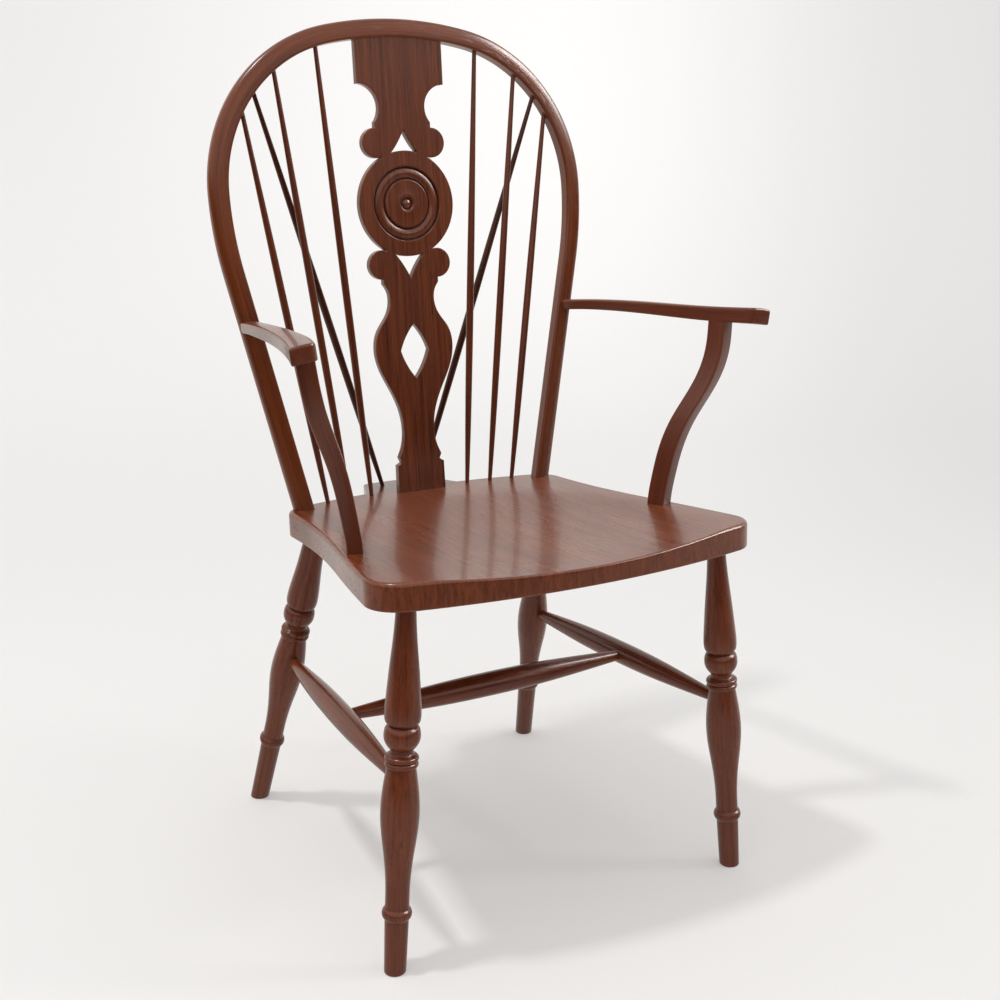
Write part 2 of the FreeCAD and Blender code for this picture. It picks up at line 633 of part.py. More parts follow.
def piercings():
    """The two curved triangles and the long diamond cut through the splat."""
    wires = []
    for (half, apex), sign in ((UPPER_PIERCING, 1), (LOWER_PIERCING, -1)):
        rise = math.sqrt(WHEEL_RADIUS ** 2 - half ** 2)
        left = V(-half, 0, WHEEL_HEIGHT + sign * rise)
        right = V(half, 0, WHEEL_HEIGHT + sign * rise)
        tip = V(0, 0, WHEEL_HEIGHT + sign * apex)
        base = Part.Arc(left, V(0, 0, WHEEL_HEIGHT + sign * WHEEL_RADIUS), right).toShape()
        flanks = [bowed(right, tip, sign * PIERCING_BOW), bowed(tip, left, sign * PIERCING_BOW)]
        wires.append(Part.Wire([base] + flanks))
    mid = up_the_vase(DIAMOND_MID)
    sides = [V(-DIAMOND_HALF, 0, mid), V(DIAMOND_HALF, 0, mid)]
    corners = [V(0, 0, up_the_vase(DIAMOND_TOP)), sides[0], V(0, 0, up_the_vase(DIAMOND_LOW)), sides[1]]
    wires.append(Part.Wire([bowed(corners[n], corners[(n + 1) % 4], -DIAMOND_BOW) for n in range(4)]))
    return wires


def through(wire, thick):
    """Solid as thick as asked, centred on the plane of a flat wire in XZ."""
    solid = Part.Face(wire).extrude(V(0, thick, 0))
    solid.translate(V(0, -thick / 2, 0))
    return solid


def wheel_carving():
    """Cutter for the turned ring and the centre boss, about Z, front surface at z = 0."""
    mid = (RING_OUTER + RING_INNER) / 2
    outer = V(RING_OUTER, 0, -RING_GROOVE)
    inner = V(RING_INNER, 0, -RING_GROOVE)
    outer_lip = V(RING_OUTER + 1.2, 0, 0)
    inner_lip = V(RING_INNER - 1.2, 0, 0)
    ring = [
        Part.makeLine(outer_lip + UP, outer_lip),
        Part.Arc(outer_lip, V(RING_OUTER + 0.7, 0, -1.5), outer).toShape(),
        Part.Arc(outer, V(mid, 0, -0.2), inner).toShape(),
        Part.Arc(inner, V(RING_INNER - 0.7, 0, -1.5), inner_lip).toShape(),
        Part.makeLine(inner_lip, inner_lip + UP),
        Part.makeLine(inner_lip + UP, outer_lip + UP),
    ]
    pit = V(BOSS_RADIUS, 0, -BOSS_GROOVE)
    pit_lip = V(BOSS_RADIUS + 1.4, 0, 0)
    boss = [
        Part.makeLine(UP, V(0, 0, 0)),
        Part.Arc(V(0, 0, 0), V(BOSS_RADIUS * 0.6, 0, -0.5), pit).toShape(),
        Part.Arc(pit, V(BOSS_RADIUS + 0.9, 0, -1.0), pit_lip).toShape(),
        Part.makeLine(pit_lip, pit_lip + UP),
        Part.makeLine(pit_lip + UP, UP),
    ]
    cutters = []
    for edges in (ring, boss):
        cutter = Part.Face(Part.Wire(edges)).revolve(V(0, 0, 0), UP, 360)
        upright = FreeCAD.Rotation(V(1, 0, 0), 90)
        cutter.Placement = FreeCAD.Placement(V(0, -SPLAT_THICK / 2, WHEEL_HEIGHT), upright)
        cutters.append(cutter)
    return cutters


def tongue(half, thick, low, high):
    """Flat tenon in the splat plane."""
    return Part.makeBox(2 * half, thick, high - low, V(-half, -thick / 2, low))


def make_splat(blank, hoop):
    """Pierced wheel splat scribed to the seat and to the bow, with a tongue at each end."""
    board = through(splat_outline(), SPLAT_THICK)
    for wire in piercings():
        board = board.cut(through(wire, SPLAT_THICK * 2))
    for cutter in wheel_carving():
        board = board.cut(cutter)
    board.Placement = splat_placement()
    board = board.cut(blank).cut(hoop)
    board = max(board.Solids, key=lambda s: s.Volume)
    inside = bow_curve_height(0, BOW_WIDE / 2)
    crest = inside + SPLAT_HEAD_TENON
    root = inside - SPLAT_TENON_DEPTH
    stub = SPLAT_HEAD_TENON
    foot = tongue(SPLAT_TENON_HALF, SPLAT_TENON_THICK, -SPLAT_TENON_DEPTH, stub)
    head = tongue(SPLAT_HEAD_TENON_HALF, SPLAT_TENON_THICK, root, crest - 3.0)
    play = TENON_PLAY
    slot = SPLAT_TENON_THICK + 2 * play
    foot_hole = tongue(SPLAT_TENON_HALF + play, slot, -SPLAT_TENON_DEPTH - SOCKET_END_PLAY, stub)
    head_hole = tongue(SPLAT_HEAD_TENON_HALF + play, slot, root, crest - 3.0 + SOCKET_END_PLAY)
    for shape in (foot, head, foot_hole, head_hole):
        shape.Placement = splat_placement()
    board = board.fuse([foot, head]).removeSplitter()
    return board, foot_hole, head_hole


def loft(sections):
    return Part.makeLoft(sections, True, False)


def corner_cutter(corner, first, second, radius, axis, reach):
    """Prism along axis that rounds the corner between the two directions leaving it."""
    first = V(first).normalize()
    second = V(second).normalize()
    half = first.getAngle(second) / 2
    inward = (first + second).normalize()
    start = corner + first * (radius / math.tan(half))
    end = corner + second * (radius / math.tan(half))
    crest = corner + inward * (radius / math.sin(half) - radius)
    outside = corner - inward * radius
    edges = [
        Part.makeLine(outside, start),
        Part.Arc(start, crest, end).toShape(),
        Part.makeLine(end, outside),
    ]
    prism = Part.Face(Part.Wire(edges)).extrude(axis * (2 * reach))
    prism.translate(axis * -reach)
    return prism


def arm_fixing():
    """Where the middle of an arm's heel meets the bow, across and up the plane of the bow."""
    y, out, rise, width, thick, roll = ARM_STATIONS[0]
    v = (rise - thick / 2 + BOW_FOOT_DROP) / math.cos(math.radians(BOW_RAKE))
    return bow_side(v) + ARM_HEEL_OUT, v


def arm_stations():
    """Arm stations with the centre x of each, counted out from the bow."""
    heel = arm_fixing()[0]
    stations = []
    for y, out, rise, width, thick, roll in ARM_STATIONS:
        stations.append((y, heel + out, rise, width, thick, roll))
    return stations


def post_stations():
    """Post stations with the centre x of each, between the foot in the seat and the head under the arm."""
    reach = arm_fixing()[0] + POST_HEAD_OUT - POST_FOOT_X
    stations = []
    for rise, share, y, width, depth in POST_STATIONS:
        stations.append((rise, POST_FOOT_X + reach * share, y, width, depth))
    return stations


def make_arm():
    """Right arm, cut to the bow's front face, its heel and the corners of its nose rounded."""
    stations = arm_stations()
    wires = []
    for y, x, rise, width, thick, roll in stations:
        wire = rounded_rectangle(width, thick, (ARM_CORNER,) * 4)
        turn = FreeCAD.Rotation(V(0, 1, 0), roll)
        turn = turn.multiply(FreeCAD.Rotation(V(1, 0, 0), 90))
        wire.Placement = FreeCAD.Placement(V(x, y, SEAT_HEIGHT + rise - thick / 2), turn)
        wires.append(wire)
    arm = loft(wires)
    reach = BOW_HALF_WIDTH
    behind = Part.makeBox(4 * reach, reach, 4 * reach, V(-2 * reach, 0, -2 * reach))
    front_face = bow_point(stations[0][1], stations[0][2], -BOW_DEEP / 2)
    behind.Placement = FreeCAD.Placement(front_face, FreeCAD.Rotation(V(1, 0, 0), -BOW_RAKE))
    arm = arm.cut(behind)

    # Heel
    last_y, last_x, last_rise, last_width, last_thick, last_roll = stations[0]
    next_y, next_x, next_rise, next_width, next_thick, next_roll = stations[1]
    forward = V(0, next_y - last_y, (next_rise - next_thick) - (last_rise - last_thick))
    up = V(0, math.sin(math.radians(BOW_RAKE)), math.cos(math.radians(BOW_RAKE)))
    low = V(last_x, last_y, SEAT_HEIGHT + last_rise - last_thick)
    normal = V(0, up.z, -up.y)
    share = normal.dot(front_face - low) / normal.dot(forward)
    corner = low + forward * share
    arm = arm.cut(corner_cutter(corner, forward, up, ARM_HEEL_ROUND, V(1, 0, 0), 2 * last_width))

    # Nose
    y, x, rise, width, thick, roll = stations[-1]
    rolled = FreeCAD.Rotation(V(0, 1, 0), roll)
    middle = V(x, y, SEAT_HEIGHT + rise - thick / 2)
    before = stations[-2]
    for sign, radius in ((-1, ARM_INNER_NOSE_ROUND), (1, ARM_OUTER_NOSE_ROUND)):
        corner = middle + rolled.multVec(V(sign * width / 2, 0, 0))
        behind_corner = V(before[1] + sign * before[3] / 2, before[0], corner.z)
        along = behind_corner - corner
        cutter = corner_cutter(corner, along, V(-sign, 0, 0), radius, rolled.multVec(UP), 2 * thick)
        arm = arm.cut(cutter)
    arm = max(arm.Solids, key=lambda s: s.Volume)
    front = min(arm.Faces, key=lambda f: f.CenterOfMass.y)
    return arm.makeFillet(ARM_RIM_ROUND, front.Edges)


def make_post():
    """Right arm post, long at both ends."""
    wires = []
    for rise, x, y, width, depth in post_stations():
        wire = rounded_rectangle(width, depth, (POST_CORNER,) * 4)
        wire.Placement = FreeCAD.Placement(V(x, y, SEAT_HEIGHT + rise), FreeCAD.Rotation(UP, POST_TURN))
        wires.append(wire)
    return loft(wires)


def make_tail(blank):
    """Tail block let on to the back edge of the seat, carrying the feet of the two braces."""
    inner_y = SEAT_BACK_Y - TAIL_ROOT_HALF
    taper = (TAIL_ROOT_HALF - TAIL_END_HALF) / (TAIL_END_Y - SEAT_BACK_Y)
    wide = TAIL_ROOT_HALF + taper * (SEAT_BACK_Y - inner_y)
    tips = [V(TAIL_END_HALF, TAIL_END_Y, 0), V(-TAIL_END_HALF, TAIL_END_Y, 0)]
    wire = Part.makePolygon([V(wide, inner_y, 0)] + tips + [V(-wide, inner_y, 0), V(wide, inner_y, 0)])
    block = Part.Face(wire).extrude(V(0, 0, -TAIL_THICK))
    block.translate(V(0, 0, -TAIL_DROP))
    uprights = []
    for edge in block.Edges:
        if edge.BoundBox.ZLength > TAIL_THICK - 1 and edge.BoundBox.YMin > TAIL_END_Y - 1:
            uprights.append(edge)
    block = block.makeFillet(TAIL_CORNER, uprights)
    rims = [e for e in block.Edges if e.BoundBox.ZLength < 0.01 and e.BoundBox.YMax > inner_y + 1]
    block = block.makeFillet(TAIL_EDGE, rims)
    block.Placement = seat_placement()
    keep_y = SEAT_BACK_Y - TAIL_THICK
    keep = Part.makeBox(2 * TAIL_END_Y, TAIL_END_Y, SEAT_HEIGHT, V(-TAIL_END_Y, keep_y, SEAT_HEIGHT / 2))
    block = block.common(keep).cut(blank)
    return max(block.Solids, key=lambda s: s.BoundBox.YMax)


def build():
    parts = {}
    blank = seat_blank()
    seat = blank.copy()
    legs = make_legs(blank)
    hoop, bow_sockets = make_bow(blank)
    bow = hoop.copy()
    for cutter in bow_sockets:
        seat = seat.cut(cutter)

    # Splat
    splat, foot_hole, head_hole = make_splat(blank, hoop)
    seat = seat.cut(foot_hole)
    bow = bow.cut(head_hole)
    parts["splat"] = splat

    # Tail block and its dowels
    tail = make_tail(blank)
    dowels = []
    for sign in (-1, 1):
        middle = seat_placement().multVec(V(DOWEL_X * sign, SEAT_BACK_Y - 2.0, -TAIL_DROP - TAIL_THICK / 2))
        along = seat_placement().Rotation.multVec(V(0, 1, 0))
        reach = DOWEL_LENGTH / 2
        dowels.append(pin(middle - along * reach, middle + along * reach, DOWEL_RADIUS))
        hole = pin(middle - along * (reach + SOCKET_END_PLAY), middle + along * (reach + SOCKET_END_PLAY),
                   DOWEL_RADIUS + TENON_PLAY)
        seat = seat.cut(hole)
        tail = tail.cut(hole)
    parts["bobtail_dowels"] = Part.makeCompound(dowels)

    # Spindles and braces
    for name, x, y, drop, top_x in SPINDLES:
        v = bow_curve_height(top_x, BOW_WIDE / 2)
        for side, sign in SIDES:
            foot = V(x * sign, y, SEAT_HEIGHT - drop)
            body, low, high = stick(foot, bow_point(top_x * sign, v), SPINDLE_FOOT_TENON)
            parts["spindle_%s_%s" % (side, name)] = body
            seat = seat.cut(low)
            bow = bow.cut(high)
    v = bow_curve_height(BRACE_TOP_X, BOW_WIDE / 2)
    for side, sign in SIDES:
        foot = V(BRACE_FOOT.x * sign, BRACE_FOOT.y, BRACE_FOOT.z)
        body, low, high = stick(foot, bow_point(BRACE_TOP_X * sign, v), BRACE_FOOT_TENON)
        parts["brace_%s" % side] = body
        tail = tail.cut(low)
        bow = bow.cut(high)
    parts["bobtail"] = tail

    # Legs and stretchers
    for name, (leg, socket) in legs.items():
        for side, sign in SIDES:
            seat = seat.cut(mirrored(socket, sign))
    front_at = leg_axis(True, STRETCHER_HEIGHT)
    back_at = leg_axis(False, STRETCHER_HEIGHT)
    way = (back_at - front_at).normalize()
    gap_front = LEG_SWELL_RADIUS - 3.0
    first = front_at + way * gap_front
    last = back_at - way * gap_front
    bar = place(stretcher_turning((last - first).Length, SIDE_STRETCHER_RADIUS, STRETCHER_TENON - 2.0),
                (first + last) * 0.5, way)
    share = (CROSS_STRETCHER_Y - front_at.y) / (back_at.y - front_at.y)
    cross_at = front_at + (back_at - front_at) * share
    span = 2 * (cross_at.x - SIDE_STRETCHER_RADIUS + 2.0)
    centre = V(0, cross_at.y, cross_at.z)
    cross = place(stretcher_turning(span, CROSS_STRETCHER_RADIUS, CROSS_TENON), centre, V(1, 0, 0))
    radius = STRETCHER_TENON_RADIUS + TENON_PLAY
    cross_start = centre + V(span / 2 - 8, 0, 0)
    cross_end = centre + V(span / 2 + CROSS_TENON + SOCKET_END_PLAY, 0, 0)
    cross_hole = pin(cross_start, cross_end, radius)
    depth = STRETCHER_TENON - 2.0 + SOCKET_END_PLAY
    leg_holes = {"front": pin(first + way * 8, first - way * depth, radius),
                 "back": pin(last - way * 8, last + way * depth, radius)}
    body = bar.cut(legs["front"][0].cut(leg_holes["front"])).cut(legs["back"][0].cut(leg_holes["back"]))
    body = max(body.Solids, key=lambda s: s.Volume).cut(cross_hole)
    body = max(body.Solids, key=lambda s: s.Volume)
    for name, (leg, socket) in legs.items():
        drilled = leg.cut(leg_holes[name])
        for side, sign in SIDES:
            parts["leg_%s_%s" % (name, side)] = mirrored(drilled, sign)
    for side, sign in SIDES:
        parts["side_stretcher_%s" % side] = mirrored(body, sign)
        cross = cross.cut(parts["side_stretcher_%s" % side])
    parts["cross_stretcher"] = max(cross.Solids, key=lambda s: s.Volume)

    # Arms, posts, screws and plugs
    arm = make_arm()
    post = make_post()
    post = max(post.cut(blank).cut(arm).Solids, key=lambda s: s.Volume)
    radius = POST_TENON_RADIUS + TENON_PLAY
    foot, head = post_stations()[1], post_stations()[-1]
    ground = seat_point(foot[1], foot[2])
    peg = pin(ground + UP * 10, ground - UP * POST_FOOT_TENON, POST_TENON_RADIUS)
    peg_hole = pin(ground + UP * 6, ground - UP * (POST_FOOT_TENON + SOCKET_END_PLAY), radius)
    rise, width, thick = ARM_STATIONS[5][2:5]
    under = V(head[1], head[2], SEAT_HEIGHT + rise - thick)
    knob = pin(under - UP * 10, under + UP * POST_HEAD_TENON, POST_TENON_RADIUS)
    knob_hole = pin(under - UP * 6, under + UP * (POST_HEAD_TENON + SOCKET_END_PLAY), radius)
    post = post.fuse([peg, knob]).removeSplitter()
    arm = arm.cut(knob_hole)

    x_arm, v_arm = arm_fixing()
    back_face = bow_point(x_arm, v_arm, BOW_DEEP / 2)
    inward = bow_point(x_arm, v_arm, 0) - back_face
    inward.normalize()
    seat_of_head = back_face + inward * PLUG_DEPTH
    shank_end = seat_of_head + inward * SCREW_LENGTH
    shank = pin(seat_of_head, shank_end, SCREW_RADIUS)
    head = Part.makeCone(SCREW_HEAD_RADIUS, SCREW_RADIUS, SCREW_HEAD_DEPTH, seat_of_head, inward)
    screw = shank.fuse(head).removeSplitter()
    plug = pin(back_face, back_face + inward * PLUG_DEPTH, PLUG_RADIUS)
    bore = pin(back_face - inward * 2, seat_of_head, PLUG_RADIUS + TENON_PLAY)
    sink = Part.makeCone(SCREW_HEAD_RADIUS, SCREW_RADIUS, SCREW_HEAD_DEPTH, seat_of_head, inward)
    hole = pin(seat_of_head, shank_end, SCREW_RADIUS)
    screws = []
    plugs = []
    for side, sign in SIDES:
        parts["arm_%s" % side] = mirrored(arm.cut(hole), sign)
        parts["arm_post_%s" % side] = mirrored(post, sign)
        seat = seat.cut(mirrored(peg_hole, sign))
        for cutter in (bore, sink, hole):
            bow = bow.cut(mirrored(cutter, sign))
        screws.append(mirrored(screw, sign))
        plugs.append(mirrored(plug, sign))
    parts["arm_screws"] = Part.makeCompound(screws)
    parts["screw_plugs"] = Part.makeCompound(plugs)
    parts["seat"] = seat
    parts["bow"] = bow
    return parts


os.makedirs("parts", exist_ok=True)
for node, shape in build().items():
    if shape.ShapeType != "Compound" or len(shape.Solids) == 1:
        shape = max(shape.Solids, key=lambda s: s.Volume)
    shape.exportStep("parts/%s.step" % node)
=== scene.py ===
import math
import bmesh
import bpy
import numpy as np
from mathutils.geometry import delaunay_2d_cdt
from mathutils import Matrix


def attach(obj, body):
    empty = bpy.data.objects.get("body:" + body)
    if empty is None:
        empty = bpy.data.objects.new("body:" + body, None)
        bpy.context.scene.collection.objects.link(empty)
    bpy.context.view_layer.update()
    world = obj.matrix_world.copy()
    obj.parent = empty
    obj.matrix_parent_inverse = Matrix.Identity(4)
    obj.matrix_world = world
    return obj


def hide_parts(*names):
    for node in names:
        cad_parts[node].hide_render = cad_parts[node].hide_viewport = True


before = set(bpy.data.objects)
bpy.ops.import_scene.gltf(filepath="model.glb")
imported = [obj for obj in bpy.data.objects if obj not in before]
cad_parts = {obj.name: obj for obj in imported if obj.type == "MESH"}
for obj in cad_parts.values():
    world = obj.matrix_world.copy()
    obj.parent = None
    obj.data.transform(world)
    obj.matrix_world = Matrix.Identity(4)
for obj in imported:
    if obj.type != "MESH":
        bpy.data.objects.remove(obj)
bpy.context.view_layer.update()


# Camera
# The chair is seen from its front left, a little above the arms, with a 50 mm lens.
VIEW_PLACE = (-0.8027, -1.4391, 0.8905)
VIEW_LENS = 50.04
VIEW_DOWN = 14.9
VIEW_TURN = -30.0

view_data = bpy.data.cameras.new("view")
view_data.lens = VIEW_LENS
view_data.sensor_width = 36.0
view = bpy.data.objects.new("view", view_data)
view.location = VIEW_PLACE
view.rotation_euler = (math.radians(90.0 - VIEW_DOWN), 0.0, math.radians(VIEW_TURN))
bpy.context.scene.collection.objects.link(view)
bpy.context.scene.camera = view
bpy.context.scene.view_settings.view_transform = "Standard"


# Studio
# A pale sheet of paper runs along the floor and sweeps up behind the chair. The camera sees it partly as a
# painted glow, brighter up the wall, with a painted pool of light behind the bow and painted shade towards
# the right. A small lamp high on the left casts the shadow, a weak one on the right lifts the front, and
# the pale room gives the rest of the light.
class Value:
    """One shader value: arithmetic on it adds Math nodes to the tree it belongs to."""

    def __init__(self, tree, socket):
        self.tree = tree
        self.socket = socket

    def maths(self, operation, *values):
        return self.tree.add("ShaderNodeMath", {"operation": operation}, dict(enumerate(values)))

    def __add__(self, other):
        return self.maths("ADD", self, other)

    def __sub__(self, other):
        return self.maths("SUBTRACT", self, other)

    def __rsub__(self, other):
        return self.maths("SUBTRACT", other, self)

    def __mul__(self, other):
        return self.maths("MULTIPLY", self, other)

    __radd__ = __add__
    __rmul__ = __mul__


class Tree:
    """The node tree of a material or of the world."""

    def __init__(self, owner):
        owner.use_nodes = True
        self.owner = owner
        self.nodes = owner.node_tree.nodes
        self.links = owner.node_tree.links
        self.nodes.clear()

    def add(self, kind, settings=None, sockets=None, output=0):
        """Add a node: its settings and a ramp's stops come first, then values or links for its sockets."""
        node = self.nodes.new(kind)
        for key, value in (settings or {}).items():
            if key == "stops":
                ramp = node.color_ramp.elements
                while len(ramp) < len(value):
                    ramp.new(0.5)
                for stop, (place, colour) in zip(ramp, value):
                    stop.position = place
                    stop.color = colour
            else:
                setattr(node, key, value)
        for key, value in (sockets or {}).items():
            if isinstance(value, Value):
                self.links.new(value.socket, node.inputs[key])
            else:
                node.inputs[key].default_value = value
        return Value(self, node.outputs[output])

    def smooth(self, value, low, high, reach=1.0):
        """Smooth rise from 0 to the reach between two values, or fall where the first is the higher."""
        sockets = {0: value, 1: low, 2: high, 4: reach}
        return self.add("ShaderNodeMapRange", {"interpolation_type": "SMOOTHSTEP"}, sockets)

    def measure(self, operation, place, goal):
        """One number for a place: its distance from a point, or how far it lies along a way."""
        return self.add("ShaderNodeVectorMath", {"operation": operation}, {0: place, 1: goal}, output=1)

    def finish(self, shader, kind="ShaderNodeOutputMaterial"):
        """Lead the last shader to the surface and hand back the material or world."""
        self.links.new(shader.socket, self.nodes.new(kind).inputs["Surface"])
        return self.owner


PAPER_TONE = (0.90, 0.887, 0.873, 1.0)
PAPER_FRONT = -6.0
PAPER_TOP = 6.0
PAPER_HALF_WIDTH = 9.0
SWEEP_START = 2.6
SWEEP_RADIUS = 1.6
AHEAD = (0.5, 0.866, 0.0)
ASIDE = (0.866, -0.5, 0.0)
PAINTED_POOL_SPOT = (2.4, 3.4, 1.4)
AIR_COLOUR = (1.0, 0.99, 0.98, 1.0)
PAINTED_REFLECTION_COLOUR = (1.0, 0.97, 0.92, 1.0)
PAINTED_WINDOW_WAY = (0.80, -0.32, 0.508)
PAINTED_WINDOW_STRENGTH = 15.0
ROOM_LOW = 0.10
ROOM_HIGH = 1.08
ROOM_SEEN = 0.84


def paper_sweep():
    """Floor, quarter circle and wall as one sheet: the same line in depth and height at every width."""
    floor = np.linspace(PAPER_FRONT, SWEEP_START, 12)
    bend = np.radians(np.linspace(6.0, 90.0, 15))
    wall = np.linspace(SWEEP_RADIUS + 0.4, PAPER_TOP, 6)
    wall_depth = np.full(len(wall), SWEEP_START + SWEEP_RADIUS)
    run = np.concatenate([floor, SWEEP_START + SWEEP_RADIUS * np.sin(bend), wall_depth])
    rise = np.concatenate([np.zeros(len(floor)), SWEEP_RADIUS * (1.0 - np.cos(bend)), wall])
    across = np.linspace(-PAPER_HALF_WIDTH, PAPER_HALF_WIDTH, 10)
    grid = np.stack(np.broadcast_arrays(across[None, :], run[:, None], rise[:, None]), axis=-1)
    turn = math.radians(VIEW_TURN)
    plan = np.array(((math.cos(turn), math.sin(turn)), (-math.sin(turn), math.cos(turn))))
    grid = np.concatenate([grid[..., :2] @ plan, grid[..., 2:]], axis=-1)
    rows, columns = grid.shape[:2]
    index = np.arange(rows * columns).reshape(rows, columns)
    quads = np.stack([index[:-1, :-1], index[:-1, 1:], index[1:, 1:], index[1:, :-1]], axis=-1)
    mesh = bpy.data.meshes.new("paper_sweep")
    mesh.from_pydata(grid.reshape(-1, 3).tolist(), [], quads.reshape(-1, 4).tolist())
    mesh.shade_smooth()
    sheet = bpy.data.objects.new("paper_sweep", mesh)
    bpy.context.scene.collection.objects.link(sheet)
    return sheet


sweep = paper_sweep()
paper = Tree(bpy.data.materials.new("paper"))
place = paper.add("ShaderNodeTexCoord", output=3)
behind = paper.measure("DOT_PRODUCT", place, AHEAD)
# A painted pool of light round a spot on the wall behind the bow.
painted_light_pool = paper.smooth(paper.measure("DISTANCE", place, PAINTED_POOL_SPOT), 2.4, 0.2)
far = paper.smooth(behind, 0.3, 2.0)
rising = paper.smooth(behind, 1.0, 4.0)
# Painted shade: the glow falls off towards the right.
painted_side_shade = paper.smooth(paper.measure("DOT_PRODUCT", place, ASIDE), 0.2, 1.6)
matt = paper.add("ShaderNodeBsdfDiffuse", {}, {"Color": PAPER_TONE})
# The painted glow: brighter up the wall, with the painted pool of light and the painted shade to the right.
level = (rising * 0.13 + painted_light_pool * 0.21 + 0.87) * (1.0 - painted_side_shade * 0.17)
painted_glow = paper.add("ShaderNodeEmission", {}, {"Color": AIR_COLOUR, "Strength": level})
# Painted reflection: what the lacquer sees of the paper is set here, and it gives no light.
near_floor = paper.smooth(behind, -1.9, -0.7)
back_floor = paper.smooth(behind, -0.1, 0.8)
painted_reflection_level = near_floor * 0.52 + back_floor * 0.38 + 0.03
painted_reflection = paper.add("ShaderNodeEmission", {}, {"Color": PAINTED_REFLECTION_COLOUR, "Strength": painted_reflection_level})
# Light Path's first output marks what the camera sees: matt paper with part of the painted glow. Its fourth
# marks what a reflection sees: a painted reflection of the paper, dim far in front of the chair and bright
# behind it, which the lacquer mirrors.
seen = paper.add("ShaderNodeLightPath", output=0)
mirrored_in = paper.add("ShaderNodeLightPath", output=3)
mixed = paper.add("ShaderNodeMixShader", {}, {0: seen * (far * 0.32 + 0.34), 1: matt, 2: painted_glow})
mixed = paper.add("ShaderNodeMixShader", {}, {0: mirrored_in, 1: mixed, 2: painted_reflection})
sweep.data.materials.append(paper.finish(mixed))

# The room lights the chair brighter from above than below. Reflections see a painted room instead, dark up
# to a little above the level and with one painted window that gives no light.
room = Tree(bpy.context.scene.world or bpy.data.worlds.new("room"))
bpy.context.scene.world = room.owner
way = room.add("ShaderNodeTexCoord", output=0)
up = room.add("ShaderNodeSeparateXYZ", {}, {0: way}, output=2)
above = room.smooth(up, 0.06, 0.32)
# A painted highlight source: a bright patch of the room that only reflections see.
painted_window = room.smooth(room.measure("DOT_PRODUCT", way, PAINTED_WINDOW_WAY), 0.958, 0.984, PAINTED_WINDOW_STRENGTH)
light = room.add("ShaderNodeMapRange", {}, {0: up, 3: ROOM_LOW, 4: ROOM_HIGH})
seen = room.add("ShaderNodeLightPath", output=0)
mirrored_in = room.add("ShaderNodeLightPath", output=3)
strength = room.add("ShaderNodeMix", {}, {0: mirrored_in, 2: light, 3: above + painted_window})
strength = room.add("ShaderNodeMix", {}, {0: seen, 2: strength, 3: ROOM_SEEN})
air = room.add("ShaderNodeBackground", {}, {"Color": AIR_COLOUR, "Strength": strength})
room.finish(air, "ShaderNodeOutputWorld")


def soft_lamp(name, place, aim, size, watts):
    """Square lamp that looks from its place to a point on the chair."""
    data = bpy.data.lights.new(name, "AREA")
    data.shape = "SQUARE"
    data.size = size
    data.energy = watts
    lamp = bpy.data.objects.new(name, data)
    way = np.array(aim) - np.array(place)
    flat = math.hypot(way[0], way[1])
    lamp.location = place
    lamp.rotation_euler = (math.pi / 2 + math.atan2(way[2], flat), 0.0, math.atan2(-way[0], way[1]))
    bpy.context.scene.collection.objects.link(lamp)


soft_lamp("key_light", (-1.20, 0.10, 3.65), (0.05, -0.02, 0.3), 0.26, 42.0)
soft_lamp("side_light", (2.3, -1.35, 2.6), (0.0, 0.0, 0.6), 0.4, 10.0)


# Seat
# One thick plank, grain from front to back, dished for the sitter and rounded at its top edge.
# The dish runs out through the front edge. The legs, posts, bow and splat are let into it.
SEAT_HEIGHT = 437.0
SEAT_PITCH = 2.6
SEAT_THICK = 31.0
SEAT_FRONT_Y = -261.0
SEAT_FRONT_RADIUS = 909.0
SEAT_CORNER_X = 215.0
SEAT_CORNER_RADIUS = 40.0
SEAT_SIDE_HEADING = 99.8
SEAT_SIDE = (231.0 - 114.0j, 211.0 - 16.0j, 199.5 + 71.0j)
SEAT_REAR_HALF = 197.0
SEAT_REAR_HEADING = 91.5
SEAT_REAR_CORNER_X = 172.0
SEAT_BACK_Y = 186.0
SEAT_BACK_RADIUS = 641.0
SEAT_TOP_ROUND = 5.0
SEAT_LIP_ROUND = 2.6
SEAT_BOTTOM_ROUND = 2.0
DISH_DEPTH = 12.0
DISH_CENTRE_Y = -149.0
DISH_HALF_WIDTH = 205.0
DISH_HALF_LENGTH = 255.0
DISH_SOFT = 0.9
FILL_MIDDLE = -60.0j


